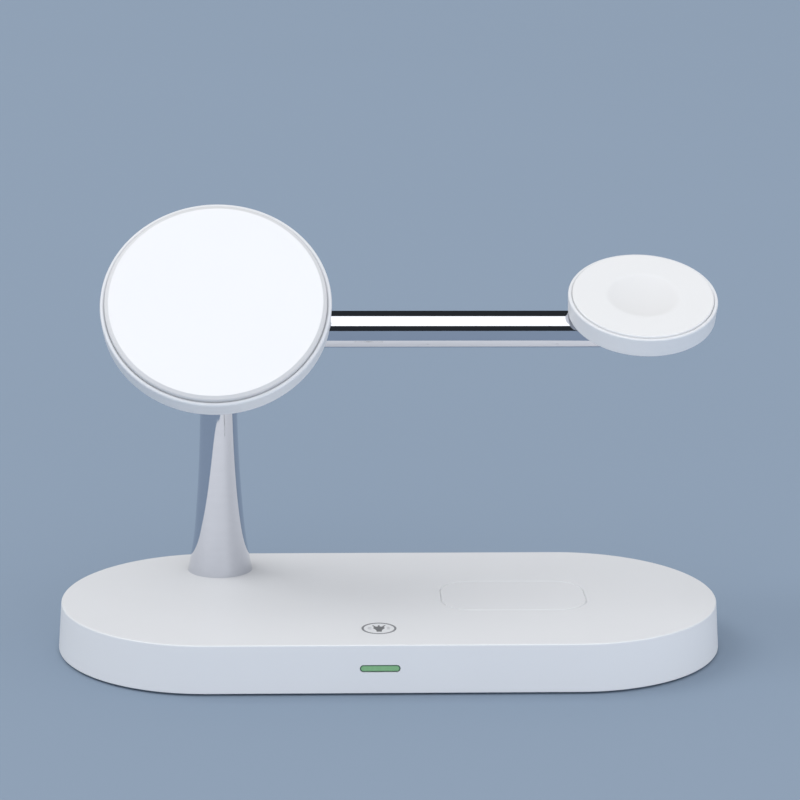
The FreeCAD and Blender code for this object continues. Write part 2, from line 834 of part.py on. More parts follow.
def make_stand_cable():
    """Lead from the board, up the post's bore and along the arm to the watch head's pin."""
    bend, run_z = s.cable_bend.value, (plate_top + s.cable_radius + s.fit_gap).value
    x, y, arm_z = (term.value for term in phone_hinge)
    low = FreeCAD.Vector(x + bend, y, run_z + bend)
    high = FreeCAD.Vector(x + bend, y, arm_z - bend)
    lead("stand_cable", [
        FreeCAD.Vector((board_left - s.fit_gap).value, y, run_z), low - UP * bend,
        low - (UP + RIGHT) * bend * math.sqrt(0.5), low - RIGHT * bend, high - RIGHT * bend,
        high + (UP - RIGHT) * bend * math.sqrt(0.5), high + UP * bend,
        FreeCAD.Vector((s.watch_x + pin_tail_x).value, y, arm_z),
    ])


def lead(label, route):
    """Round lead along straight runs joined by tangent arcs, each arc given by its middle point."""
    edges = [Part.LineSegment(*route[:2])]
    for corner in range(1, len(route) - 2, 3):
        edges.append(Part.Arc(*route[corner:corner + 3]))
        edges.append(Part.LineSegment(*route[corner + 2:corner + 4]))
    path = Part.Wire([edge.toShape() for edge in edges])
    section = Part.Wire(Part.Circle(route[0], route[1] - route[0], s.cable_radius.value).toShape())
    cable = doc.addObject("Part::Feature", label)
    cable.Shape = path.makePipeShell([section], True, False)
    sub_parts.append(cable)
    return cable


# Phone head

def make_phone_shell():
    """Round cup with a seat for the pad inside its rim, and two hinge ears on its back."""
    points = [
        (0, phone_back), (s.phone_back_radius, phone_back), (s.phone_rim_radius, s.phone_offset),
        (phone_bore, s.phone_offset), (phone_bore, phone_seat), (phone_room, phone_seat),
        (phone_room, phone_inside), (0, phone_inside),
    ]
    body = turned("phone_rear_shell", points, phone_hinge, phone_lean)
    round_edges(body, at_level(phone_back), s.phone_back_round)
    round_edges(body, at_level(s.phone_offset), s.rim_round)

    for side in (1, -1):
        level = side * ear_middle - s.ear_width / 2
        ear = new_sketch(body, "YZ_Plane", level)
        root = s.ear_half + s.ear_flare
        top = phone_back + s.phone_floor / 2
        polygon(ear, [(-s.ear_half, 0), (s.ear_half, 0), (root, top), (-root, top)])
        pad(body, ear, s.ear_width)
    round_edges(body, along_ear_side, s.ear_round)
    saddle = new_sketch(body, "YZ_Plane")
    circle(saddle, 0, 0, saddle_radius)
    cut(body, saddle, Midplane=True)
    lead_hole = new_sketch(body)
    circle(lead_hole, 0, 0, s.cable_radius + s.cable_slack)
    cut(body, lead_hole, phone_inside, Reversed=True)
    pilots = new_sketch(body)
    for place in clamp_places:
        circle(pilots, *place, s.clamp_screw_radius + s.press_gap)
    cut(body, pilots, s.clamp_screw_length - s.clamp_seat + s.fit_gap, Reversed=True)


def along_ear_side(edge, middle):
    """Slanting edges of the ears, between the split line and the back of the cup."""
    in_span = (s.fit_gap.value < middle.z < phone_back.value)
    return in_span and abs(middle.y) > s.ear_half.value


def make_clamp_caps():
    """Half-round caps that close the ears round the arm, and their four screws."""
    for side, name in ((-1, "left"), (1, "right")):
        body = new_body(f"phone_clamp_{name}", phone_hinge, phone_lean)
        section = new_sketch(body, "YZ_Plane", side * ear_middle - s.ear_width / 2)
        half_round(section, s.ear_half, saddle_radius, -s.clamp_gap)
        pad(body, section, s.ear_width)
        holes = new_sketch(body)
        seats = new_sketch(body, level=-s.clamp_seat)
        for place in clamp_places:
            if place[0].value * side > 0:
                circle(holes, *place, s.clamp_screw_radius + s.fit_gap)
                circle(seats, *place, s.clamp_head_radius + s.fit_gap)
        cut(body, holes)
        cut(body, seats)

    screws = new_body("phone_clamp_screws", phone_hinge, phone_lean)
    heads = new_sketch(screws, level=-s.clamp_seat)
    shanks = new_sketch(screws, level=-s.clamp_seat)
    for place in clamp_places:
        circle(heads, *place, s.clamp_head_radius)
        circle(shanks, *place, s.clamp_screw_radius)
    pad(screws, heads, s.clamp_head_height, Reversed=True)
    pad(screws, shanks, s.clamp_screw_length)


def half_round(sketch, outer, inner, level):
    """Lower half of a ring, closed by two straight ends at a level just under the axis."""
    outer_reach, inner_reach = leg(outer, level), leg(inner, level)
    dip = math.degrees(math.asin(-level.value / outer.value))
    inner_dip = math.degrees(math.asin(-level.value / inner.value))
    outside = arc(sketch, (0, 0), outer, 180 + dip, 360 - dip)
    inside = arc(sketch, (0, 0), inner, 180 + inner_dip, 360 - inner_dip)
    left = line(sketch, (-outer_reach, level), (-inner_reach, level))
    right = line(sketch, (inner_reach, level), (outer_reach, level))
    for first, end_a, second, end_b in (
        (left, START, outside, START), (left, END, inside, START),
        (right, START, inside, END), (right, END, outside, END),
    ):
        sketch.addConstraint(Sketcher.Constraint("Coincident", first, end_a, second, end_b))
    pin(sketch, left, START, -outer_reach, level)
    pin(sketch, right, END, outer_reach, level)
    pin(sketch, left, END, -inner_reach, level)
    pin(sketch, right, START, inner_reach, level)
    for turn_piece in (outside, inside):
        sketch.addConstraint(Sketcher.Constraint("PointOnObject", turn_piece, CENTRE, H_AXIS))


def make_phone_insides():
    face = s.phone_offset + s.phone_pad_raise
    cover = disc("phone_face_pad", phone_hinge, s.phone_pad_radius, face - phone_seat,
                 lean=phone_lean, level=phone_seat)
    round_edges(cover, at_level(face), s.phone_pad_round)

    magnet_outer = phone_room - s.magnet_gap
    magnet_inner = magnet_outer - s.magnet_width
    magnets = new_body("phone_magnets", phone_hinge, phone_lean)
    section = new_sketch(magnets, "XZ_Plane")
    polygon(section, [
        (magnet_inner, phone_inside), (magnet_outer, phone_inside),
        (magnet_outer, phone_inside + s.magnet_thick), (magnet_inner, phone_inside + s.magnet_thick),
    ])
    sector = turn(magnets, section, Angle=s.magnet_span)
    pattern = magnets.newObject("PartDesign::PolarPattern", "pattern")
    pattern.Originals = [sector]
    pattern.Axis = (section, ["V_Axis"])
    pattern.Angle = 360
    bind(pattern, "Occurrences", s.magnet_count)
    magnets.Tip = pattern
    doc.recompute()

    disc("phone_ferrite", phone_hinge, s.phone_coil_radius, s.phone_ferrite_thick,
         lean=phone_lean, level=phone_inside)
    disc("phone_coil", phone_hinge, s.phone_coil_radius, s.phone_coil_thick, s.phone_coil_hole,
         lean=phone_lean, level=phone_inside + s.phone_ferrite_thick)
    disc("phone_lead", phone_hinge, s.cable_radius, phone_inside - s.lead_start,
         lean=phone_lean, level=s.lead_start)


# Watch head

def make_watch_shell():
    """Small round cup, moulded in one piece with the hinge barrel under its back."""
    points = [
        (0, watch_back), (s.watch_back_radius, watch_back), (s.watch_rim_radius, s.watch_offset),
        (watch_bore, s.watch_offset), (watch_bore, watch_seat), (watch_room, watch_seat),
        (watch_room, watch_inside), (0, watch_inside),
    ]
    body = turned("watch_rear_shell", points, watch_hinge, watch_lean)
    round_edges(body, at_level(watch_back), s.watch_back_round)
    round_edges(body, at_level(s.watch_offset), s.rim_round)

    barrel_length = s.barrel_end - s.barrel_start
    barrel = new_sketch(body, "YZ_Plane", s.barrel_start)
    circle(barrel, 0, 0, s.barrel_radius)
    pad(body, barrel, barrel_length)
    web = new_sketch(body, "YZ_Plane", s.barrel_start)
    half, top = s.barrel_web, watch_back + s.watch_floor / 2
    polygon(web, [(-half, 0), (half, 0), (half, top), (-half, top)])
    pad(body, web, barrel_length)
    barrel_face = s.barrel_end.value
    round_edges(body, lambda edge, middle: close_to(middle.x, barrel_face) and middle.z < 0,
                s.barrel_round)
    pin_hole = new_sketch(body, "YZ_Plane", s.barrel_start)
    circle(pin_hole, 0, 0, s.pin_radius + s.press_gap)
    cut(body, pin_hole, s.pin_grip, Reversed=True)
    channel_radius = s.cable_radius + s.cable_slack
    channel = new_sketch(body, "YZ_Plane", s.barrel_start)
    circle(channel, 0, 0, channel_radius)
    cut(body, channel, lead_x - s.barrel_start + s.cable_slack, Reversed=True)
    lead_hole = new_sketch(body)
    circle(lead_hole, lead_x, 0, channel_radius + s.cable_slack / 2)
    cut(body, lead_hole, watch_inside, Reversed=True)


def make_watch_hinge():
    """Hollow pin fixed in the barrel, a bush in the arm's end, a spacer and a retaining clip."""
    groove_radius = s.pin_radius - s.clip_groove
    grip_end = s.barrel_start + s.pin_grip
    pin_points = [
        (pin_tail_x, s.pin_bore), (pin_tail_x, s.pin_radius), (clip_x, s.pin_radius),
        (clip_x, groove_radius), (clip_x + s.clip_thick, groove_radius),
        (clip_x + s.clip_thick, s.pin_radius),
        (grip_end, s.pin_radius), (grip_end, s.pin_bore),
    ]
    turned("watch_hinge_pin", pin_points, watch_hinge, axis="H_Axis")

    for label, start, thick, outer, inner in (
        ("watch_hinge_bush", arm_end - s.bush_length, s.bush_length, arm_bore - s.press_gap,
         s.pin_radius + s.run_gap),
        ("watch_hinge_spacer", arm_end, s.spacer_thick, s.arm_radius, s.pin_radius + s.run_gap),
        ("watch_hinge_clip", clip_x + s.press_gap, s.clip_thick - 2 * s.press_gap, s.clip_radius,
         groove_radius + s.press_gap),
    ):
        body = new_body(label, watch_hinge)
        section = new_sketch(body, "YZ_Plane", start)
        ring(section, 0, 0, outer, inner)
        pad(body, section, thick)


def make_watch_lead():
    """Lead through the hollow pin, turned up into the cup."""
    bend = s.cable_bend.value / 2
    corner = FreeCAD.Vector(lead_x.value - bend, 0, bend)
    cable = lead("watch_lead", [
        FreeCAD.Vector((pin_tail_x + s.cable_slack).value, 0, 0), corner - UP * bend,
        corner + (RIGHT - UP) * bend * math.sqrt(0.5), corner + RIGHT * bend,
        FreeCAD.Vector(lead_x.value, 0, watch_inside.value),
    ])
    place = FreeCAD.Vector(*(term.value for term in watch_hinge))
    cable.Placement = FreeCAD.Placement(place, FreeCAD.Rotation(RIGHT, watch_lean.value))


def make_watch_insides():
    face = s.watch_offset + s.watch_face_raise
    cover = disc("watch_face", watch_hinge, s.watch_face_radius, face - watch_seat,
                 lean=watch_lean, level=watch_seat)
    round_edges(cover, at_level(face), s.watch_face_round)
    dish = new_sketch(cover, "XZ_Plane")
    dish_outline(dish, face)
    before = cover.Shape.Volume
    turn(cover, dish, kind="Groove")
    assert cover.Shape.Volume < before, "watch_face: the dish misses the solid"
    dish_rim = s.dish_radius.value

    def on_dish_rim(edge, middle):
        return close_to(middle.z, face.value) and close_to(math.hypot(middle.x, middle.y), dish_rim)

    round_edges(cover, on_dish_rim, s.dish_blend)

    disc("watch_ferrite", watch_hinge, s.watch_coil_radius, s.watch_ferrite_thick,
         lean=watch_lean, level=watch_inside)
    coil_under = watch_inside + s.watch_ferrite_thick
    disc("watch_coil", watch_hinge, s.watch_coil_radius, s.watch_coil_thick, s.watch_coil_hole,
         lean=watch_lean, level=coil_under)
    disc("watch_magnet", watch_hinge, s.watch_magnet_radius, s.watch_magnet_thick,
         lean=watch_lean, level=coil_under)


def dish_outline(sketch, face):
    """Segment of a circle centred on the axis, as wide as the dish at the face and as deep as it."""
    reach, depth = s.dish_radius.value, s.dish_depth.value
    radius = (reach ** 2 + depth ** 2) / (2 * depth)
    opening = math.degrees(math.asin(reach / radius))
    bowl = arc(sketch, (0, face.value - depth + radius), radius, 270, 270 + opening)
    axis_side = line(sketch, (0, face), (0, face - s.dish_depth))
    mouth = line(sketch, (s.dish_radius, face), (0, face))
    for first, second in ((axis_side, bowl), (bowl, mouth), (mouth, axis_side)):
        sketch.addConstraint(Sketcher.Constraint("Coincident", first, END, second, START))
    pin(sketch, axis_side, START, 0, face)
    pin(sketch, axis_side, END, 0, face - s.dish_depth)
    pin(sketch, mouth, START, s.dish_radius, face)
    sketch.addConstraint(Sketcher.Constraint("PointOnObject", bowl, CENTRE, V_AXIS))


for make in (
    make_base_cover, make_bottom_plate, make_anti_slip_pad, make_base_screws, make_weight,
    make_board, make_board_chips, make_choke, make_inlet, make_indicator, make_touch_sensor,
    make_earbuds_coil, make_post, make_post_fixing, make_arm, make_stand_cable,
    make_phone_shell, make_clamp_caps, make_phone_insides,
    make_watch_shell, make_watch_hinge, make_watch_lead, make_watch_insides,
):
    make()

doc.recompute()
for item in doc.Objects:
    assert not {"Invalid", "Error"} & set(item.State), f"{item.Label}: {item.State}"
for sub_part in sub_parts:
    shape = sub_part.Shape
    assert not shape.isNull() and shape.isValid(), f"{sub_part.Label}: shape is not sound"

os.makedirs("parts", exist_ok=True)
for sub_part in sub_parts:
    sub_part.Shape.exportStep(f"parts/{sub_part.Label}.step")
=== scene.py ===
import math

import bpy
import numpy as np
from mathutils import Matrix, Vector
from mathutils.geometry import delaunay_2d_cdt


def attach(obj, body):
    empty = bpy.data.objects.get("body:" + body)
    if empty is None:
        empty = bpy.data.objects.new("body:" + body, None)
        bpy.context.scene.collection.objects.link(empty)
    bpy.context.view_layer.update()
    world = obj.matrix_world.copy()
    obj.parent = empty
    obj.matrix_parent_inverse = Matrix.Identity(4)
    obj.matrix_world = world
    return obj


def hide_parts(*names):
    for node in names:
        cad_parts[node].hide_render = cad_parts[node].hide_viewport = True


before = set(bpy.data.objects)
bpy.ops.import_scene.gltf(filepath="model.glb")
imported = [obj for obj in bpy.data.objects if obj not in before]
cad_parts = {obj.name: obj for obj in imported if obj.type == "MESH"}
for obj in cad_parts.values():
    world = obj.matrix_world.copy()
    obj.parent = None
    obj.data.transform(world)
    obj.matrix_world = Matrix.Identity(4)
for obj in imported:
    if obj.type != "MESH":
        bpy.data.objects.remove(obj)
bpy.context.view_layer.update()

# Lengths of the pieces are in millimetres in the part's own frame, and become metres as a mesh is made.
MM = 0.001
UP = np.array([0.0, 0.0, 1.0])
# Points of a skin merge in cells of this size, shifted so that no round length lies on a cell's edge
MERGE, MERGE_SHIFT = 0.0005, 0.3
# Points of a plate's outline that are one point, and the slack of its triangulation
SAME_POINT, PLATE_SLACK = 1e-6, 1e-7
# Steps of a full turn, for wide pieces and for narrow ones
WIDE_TURN, NARROW_TURN = 192, 128

# Base cover
BASE_LENGTH, BASE_DEPTH, BASE_HEIGHT = 167.7, 77.6, 12.0
BASE_TAPER, BASE_WALL, BASE_ROOF = 0.87, 2.0, 2.0
WALL_FOOT = 0.5
BASE_TOP = WALL_FOOT + BASE_HEIGHT
TOP_ROUND, FOOT_ROUND = 0.4, 0.25
RIM_STEPS = 192
HALF_STRAIGHT = (BASE_LENGTH - BASE_DEPTH) / 2
FOOT_REACH = BASE_DEPTH / 2
INNER_REACH = FOOT_REACH - BASE_TAPER - BASE_WALL
SLOPE = BASE_TAPER / BASE_HEIGHT
DRAFT = math.atan(SLOPE)
# Key, mark, window and power inlet on the cover
CONTROL_X, KEY_Y, KEY_RADIUS = -3.4, -25.5, 4.25
LINE_WIDTH, LINE_DEPTH, LINE_STEPS, MARK_STEPS = 0.5, 0.42, 12, 96
PRINT_RISE, PRINT_SINK, RING_SINK, RING_LAP = 0.03, 0.02, 0.05, 0.02
MARK_X, MARK_Y, MARK_WIDTH, MARK_DEPTH, MARK_ROUND = 31.4, 0.3, 37.2, 24.0, 8.0
WINDOW_LENGTH, WINDOW_HEIGHT, WINDOW_LEVEL = 9.8, 1.8, 6.15
PANE_RECESS, PANE_FLANGE, PANE_SLACK, PANE_ROUND = 0.1, 0.7, 0.04, 0.3
INLET_LENGTH, INLET_HEIGHT, INLET_LEVEL = 9.14, 3.46, 6.63
# Post and arm
POST_X, POST_Y, ARM_Z = -43.8, 24.3, 76.7
FOOT_RADIUS, NECK_RADIUS, NECK_HEIGHT = 8.5, 4.75, 50.0
WAIST, FLARE_STEPS = np.array([6.42, 12.7]), 40
NECK_SEAT, NECK_CLEAR, NECK_BACK, NECK_STEPS, SADDLE_STEPS = 4.3, 1.58, 0.8, 192, 12
ARM_RADIUS, ARM_BORE, ARM_LEFT, ARM_RIGHT = 4.75, 3.75, -58.3, 56.55
ARM_STEPS, ARM_ROUND, SLOT_HALF, SLOT_FIRST, SLOT_LAST = 128, 0.2, 1.0, 66, 102
CAP_LEFT, CAP_ROUND, CAP_PLUG, CAP_SLACK = -59.9, 1.0, 5.0, 0.02
# How the polish is shaded: the post's normals lean down by an angle, those under the arm lie flatter
POST_SHADING_LEAN, ARM_SHADING_RISE = 12.0, 0.62
# Heads: heights are along the head's own axis, from the hinge line
PHONE_LEAN, WATCH_LEAN, WATCH_X = 49.1, 23.9, 65.1
PHONE_CUP = {"back": 8.01, "back_reach": 29.05, "back_round": 0.9, "rim": 13.83, "rim_reach": 29.25,
             "rim_round": 0.53, "bore": 28.15, "seat": 12.93, "room": 26.85, "floor": 9.51}
PHONE_FACE, PAD_SLACK, PAD_RUN, PAD_FALL, PAD_FINE, PAD_ROUND = 15.06, 0.03, 1.05, 0.45, 0.3, 0.5
WATCH_CUP = {"back": 4.91, "back_reach": 18.9, "back_round": 0.5, "rim": 10.31, "rim_reach": 19.2,
             "rim_round": 0.42, "bore": 18.17, "seat": 9.41, "room": 17.17, "floor": 6.31}
WATCH_FACE, FACE_SLACK, FACE_ROUND = 10.71, 0.03, 0.3
DISH_REACH, DISH_DEPTH, DISH_SOFT = 9.5, 0.9, 6.0
# Distances from the middle over which the colour of the phone face, pane or dish turns to painted shade: at
# the face's bevelled edge, at the pane's rim and inside the dish
PAD_PAINTED_SHADE, PANE_PAINTED_SHADE, DISH_PAINTED_SHADE = (26.9, 27.2), (0.52, 0.70), (8.4, 9.7)


# Surfaces

class Skin:
    """Patches of one piece: points, true surface normals and triangles, joined where they meet."""

    def __init__(self, place):
        self.place = place
        self.points, self.normals, self.corners = [], [], []
        self.count = 0

    def add(self, points, normals, corners):
        """Adds a patch, turning its triangles so that they face along its normals."""
        points, normals = points.reshape(-1, 3), normals.reshape(-1, 3)
        a, b, c = (points[corners[:, k]] for k in range(3))
        inward = np.einsum("ij,ij->i", np.cross(b - a, c - a), normals[corners].mean(axis=1)) < 0
        corners = np.where(inward[:, None], corners[:, ::-1], corners)
        self.points.append(points)
        self.normals.append(normals)
        self.corners.append(corners + self.count)
        self.count += len(points)

    def mesh(self, name):
        """Places the patches, merges points that coincide and keeps each corner's own normal."""
        turn, shift = self.place[:3, :3], self.place[:3, 3]
        points = np.concatenate(self.points) @ turn.T + shift
        normals = np.concatenate(self.normals) @ turn.T
        corners = np.concatenate(self.corners)
        near = np.round(points / MERGE + MERGE_SHIFT)
        _, first, merged = np.unique(near, axis=0, return_index=True, return_inverse=True)
        joined = merged.reshape(-1)[corners]
        whole = (joined != np.roll(joined, 1, axis=1)).all(axis=1)
        joined, corners = joined[whole], corners[whole]
        made = bpy.data.meshes.new(name)
        made.vertices.add(len(first))
        made.vertices.foreach_set("co", (points[first] * MM).astype(np.float32).ravel())
        made.loops.add(joined.size)
        made.loops.foreach_set("vertex_index", joined.astype(np.int32).ravel())
        made.polygons.add(len(joined))
        made.polygons.foreach_set("loop_start", np.arange(0, joined.size, 3, dtype=np.int32))
        made.update(calc_edges=True)
        made.shade_smooth()
        made.normals_split_custom_set(normals[corners].reshape(-1, 3).tolist())
        return made


def lying(lean, x):
    """Frame on the hinge line at x, turned about the x axis from face up towards the front."""
    c, s = math.cos(math.radians(lean)), math.sin(math.radians(lean))
    return np.array([[1, 0, 0, x], [0, c, -s, POST_Y], [0, s, c, ARM_Z], [0, 0, 0, 1.0]])


def standing(x, y, z):
    """Frame moved to a place without a turn."""
    place = np.eye(4)
    place[:3, 3] = x, y, z
    return place


def along_arm(place):
    """The given frame turned so that a turned piece's axis lies along x."""
    turn = np.array([[0, 0, 1, 0], [0, 1, 0, 0], [-1, 0, 0, 0], [0, 0, 0, 1.0]])
    return place @ turn


def facing_front():
    """Frame whose height axis points to the front and whose y axis points up."""
    return np.array([[1, 0, 0, 0], [0, 0, -1, 0], [0, 1, 0, 0], [0, 0, 0, 1.0]])


def ring_path(half_x=0.0, half_y=0.0, x=0.0, y=0.0, steps=48):
    """Closed rounded path: four quarter turns about the corners of an inner rectangle.

    A point at offset r lies at the corner plus r times the unit normal, so that no rectangle
    gives a circle and a rectangle without depth gives two half circles joined by straight sides.
    """
    quarter = np.linspace(0, math.pi / 2, steps // 4 + 1)
    angle = (np.arange(4)[:, None] * math.pi / 2 + quarter).ravel()
    spot = np.repeat(np.arange(4), len(quarter))
    right, back = np.array([1, -1, -1, 1])[spot], np.array([1, 1, -1, -1])[spot]
    centre = np.stack([x + right * half_x, y + back * half_y], axis=1)
    return centre, np.stack([np.cos(angle), np.sin(angle)], axis=1)


def arc_path(x, first, last, steps):
    """Open part of a turn about one point on the x axis, in degrees."""
    angle = np.radians(np.linspace(first, last, steps + 1))
    spoke = np.stack([np.cos(angle), np.sin(angle)], axis=1)
    return np.broadcast_to([x, 0.0], spoke.shape), spoke


def straight(start, end):
    """Straight run of a profile from start to end, (offset, height); its normal is to its right."""
    points = np.array([start, end], float)
    run = (points[1] - points[0]) / np.linalg.norm(points[1] - points[0])
    return points, np.broadcast_to([run[1], -run[0]], points.shape)


def bend(centre, radius, first, last, steps=8):
    """Round run of a profile: centre plus radius times the direction of an angle in degrees."""
    angle = np.radians(np.linspace(first, last, steps + 1))
    spoke = np.stack([np.cos(angle), np.sin(angle)], axis=1)
    return np.array(centre) + radius * spoke, spoke


def hollow_bend(centre, radius, first, last, steps=8):
    """Round run seen from its inside: the same arc with its normal towards the centre."""
    points, spoke = bend(centre, radius, first, last, steps)
    return points, -spoke


def sweep(skin, path, run, closed=True):
    """Carries a run along a path: path centre + offset times path normal, and height upwards.

    The normal is the path's normal and the upward direction mixed as the run's own normal says.
    """
    (centre, outward), (section, slant) = path, run
    rows, columns = len(centre), len(section)
    points = np.empty((rows, columns, 3))
    points[:, :, :2] = centre[:, None] + section[None, :, :1] * outward[:, None]
    points[:, :, 2] = section[None, :, 1]
    normals = np.empty_like(points)
    normals[:, :, :2] = slant[None, :, :1] * outward[:, None]
    normals[:, :, 2] = slant[None, :, 1]
    skin.add(points, normals, lattice(rows, columns, closed))


def lattice(rows, columns, closed):
    """Two triangles for each cell of a grid; a closed grid joins its last row to its first."""
    steps = np.arange(rows if closed else rows - 1)
    cell = (steps[:, None] * columns + np.arange(columns - 1)).ravel()
    size = rows * columns
    a, b, c, d = cell % size, (cell + columns) % size, (cell + columns + 1) % size, (cell + 1) % size
    return np.concatenate([np.stack([a, b, c], axis=1), np.stack([a, c, d], axis=1)])


def turned(skin, *runs, steps):
    """Turns runs of (radius, height) about the height axis."""
    path = ring_path(steps=steps)
    for run in runs:
        sweep(skin, path, run)
    return skin


def outline(path, reach):
    """Points of a path at one offset."""
    centre, outward = path
    return centre + reach * outward


def inside(points, loop):
    """Even-odd test of points against a closed loop, for all pairs at once."""
    a, b = loop, np.roll(loop, -1, axis=0)
    x, y = points[:, 0, None], points[:, 1, None]
    crosses = (a[:, 1] > y) != (b[:, 1] > y)
    rise = np.where(b[:, 1] == a[:, 1], 1.0, b[:, 1] - a[:, 1])
    left = x < (b[:, 0] - a[:, 0]) * (y - a[:, 1]) / rise + a[:, 0]
    return (crosses & left).sum(axis=1) % 2 == 1


def plate(skin, loops, lift, normal):
    """Flat face between an outer loop and its holes, triangulated and lifted into space by lift(flat)."""
    loops = [loop[np.linalg.norm(loop - np.roll(loop, -1, axis=0), axis=1) > SAME_POINT]
             for loop in loops]
    flat = np.concatenate(loops)
    ends = np.cumsum([len(loop) for loop in loops])
    number = np.arange(len(flat))
    following = number + 1
    following[ends - 1] = np.concatenate([[0], ends[:-1]])
    edges = np.stack([number, following], axis=1)
    spots, _, triangles, *_ = delaunay_2d_cdt(flat.tolist(), edges.tolist(), [], 1, PLATE_SLACK)
    spots, triangles = np.array(spots), np.array(triangles)
    middle = spots[triangles].mean(axis=1)
    kept = inside(middle, loops[0])
    for hole in loops[1:]:
        kept &= ~inside(middle, hole)
    points = lift(spots)
    skin.add(points, np.broadcast_to(np.array(normal, float), points.shape), triangles[kept])


def level(height):
    """Lifts flat points to one height."""
    return lambda flat: np.column_stack([flat, np.full(len(flat), float(height))])


def piece(name, skin, body, slot, *nodes, finish=None):
    """Makes the object of a skin, attached to its body, with the finish of its slot unless another is
    named, and hides the nodes that it stands for.
    """
    made = bpy.data.objects.new(name, skin.mesh(name))
    bpy.context.scene.collection.objects.link(made)
    made.data.materials.append(finishes[finish or slot])
    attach(made, body)
    if nodes:
        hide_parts(*nodes)


# Finishes

class Wire:
    """A shader socket; arithmetic on wires adds Math nodes, and add() makes any other node."""

    def __init__(self, tree, socket=None):
        self.tree, self.socket = tree, socket

    def add(self, kind, settings=None, inputs=None, output=0):
        """Adds a node, sets its own settings, then its sockets by name or number; gives an output."""
        node = self.tree.nodes.new(kind)
        for key, setting in (settings or {}).items():
            setattr(node, key, setting)
        for key, term in (inputs or {}).items():
            if isinstance(term, Wire):
                self.tree.links.new(term.socket, node.inputs[key])
            else:
                node.inputs[key].default_value = term
        return Wire(self.tree, node.outputs[output])

    def maths(self, operation, *terms):
        """Math node on wires and numbers."""
        return self.add("ShaderNodeMath", {"operation": operation}, dict(enumerate(terms)))

    def __add__(self, other):
        return self.maths("ADD", self, other)

    __radd__ = __add__

    def __mul__(self, other):
        return self.maths("MULTIPLY", self, other)

    __rmul__ = __mul__

    def __sub__(self, other):
        return self.maths("SUBTRACT", self, other)

    def __rsub__(self, other):
        return self.maths("SUBTRACT", other, self)

    def __truediv__(self, other):
        return self.maths("DIVIDE", self, other)

    def __rtruediv__(self, other):
        return self.maths("DIVIDE", other, self)

    def __abs__(self):
        return self.maths("ABSOLUTE", self)

    def __pow__(self, other):
        return self.maths("POWER", self, other)

    def __rpow__(self, other):
        return self.maths("POWER", other, self)

    def step(self, low, high):
        """0 below low, 1 above high, and a smooth rise between them."""
        limits = {"Value": self, "From Min": low, "From Max": high}
        return self.add("ShaderNodeMapRange", {"interpolation_type": "SMOOTHSTEP"}, limits)

    def blend(self, low, high):
        """Colour between two colours by this wire's value."""
        sockets = {"Factor": self, 6: rgba(low), 7: rgba(high)}
        return self.add("ShaderNodeMix", {"data_type": "RGBA"}, sockets, 2)


def rgba(colour):
    """A colour as a socket takes it: a wire as it is, three numbers with full alpha."""
    return colour if isinstance(colour, Wire) else (*colour, 1.0)


class Finish:
    """A procedural material: its tree, its Object coordinates and its shader's sockets."""

    def __init__(self, name, **constants):
        self.material = bpy.data.materials.new(name)
        self.material.use_nodes = True
        self.tree = self.material.node_tree
        self.shader = self.tree.nodes["Principled BSDF"]
        self.wires = Wire(self.tree)
        self.spot = self.wires.add("ShaderNodeTexCoord", output="Object")
        for socket, term in constants.items():
            self.shader.inputs[socket.replace("_", " ")].default_value = term

    def axis(self, letter):
        """One coordinate in millimetres."""
        split = self.wires.add("ShaderNodeSeparateXYZ", None, {"Vector": self.spot}, "XYZ".index(letter))
        return split / MM

    def noise(self, scale, detail=2.0, stretch=None):
        """Even noise of about 0 to 1; stretch scales the coordinates by axis first."""
        where = self.spot
        if stretch:
            where = self.wires.add("ShaderNodeMapping", None, {"Vector": where, "Scale": stretch})
        sockets = {"Vector": where, "Scale": scale, "Detail": detail}
        return self.wires.add("ShaderNodeTexNoise", None, sockets, 0)

    def from_middle(self, x, lean):
        """Millimetres from the middle of a head's face, in the head's own plane."""
        turn = math.radians(lean)
        right, back, high = (self.axis(letter) for letter in "XYZ")
        up = (back - POST_Y) * math.cos(turn) + (high - ARM_Z) * math.sin(turn)
        return ((right - x) ** 2.0 + up ** 2.0) ** 0.5

    def link(self, socket, wire):
        """Feeds a socket of the shader."""
        self.tree.links.new(wire.socket, self.shader.inputs[socket])

    def relief(self, height, strength, distance):
        """Bump from a height wire."""
        sockets = {"Height": height, "Strength": strength, "Distance": distance}
        self.link("Normal", self.wires.add("ShaderNodeBump", None, sockets))


def moulded(name, dark, light, roughness, grain, strength, shade=None, shaded=None):
    """Moulded plastic: slow colour drift, uneven gloss, a fine grain and perhaps painted shade, where shade
    gives the mask and shaded the colour.
    """
    made = Finish(name)
    drift, fine = made.noise(35.0), made.noise(grain, 3.0)
    colour = (drift * 0.6 + fine * 0.4).blend(dark, light)
    # Painted shade: where the shade mask is 1, the colour turns to the shaded colour
    made.link("Base Color", shade(made).blend(colour, shaded) if shade else colour)
    made.link("Roughness", made.noise(220.0) * 0.08 + roughness)
    made.relief(fine, strength, 0.00004)
    return made.material


def pad_edge_painted_shade(made):
    """1 on the bevelled edge of the phone face, which gets painted shade: a darker colour where the edge
    turns away from the light.
    """
    return made.from_middle(POST_X, PHONE_LEAN).step(*PAD_PAINTED_SHADE)


def dish_painted_shade(made):
    """1 in the watch face's dish, where painted shade makes it a little darker than the face."""
    return 1.0 - made.from_middle(WATCH_X, WATCH_LEAN).step(*DISH_PAINTED_SHADE)


def metal(name, dark, light, roughness, streaks):
    """Metal: streaks along the stretched direction change its colour and gloss a little."""
    made = Finish(name, Metallic=1.0)
    streak = made.noise(900.0, 2.0, streaks)
    made.link("Base Color", streak.blend(dark, light))
    made.link("Roughness", streak * 0.04 + roughness)
    return made.material


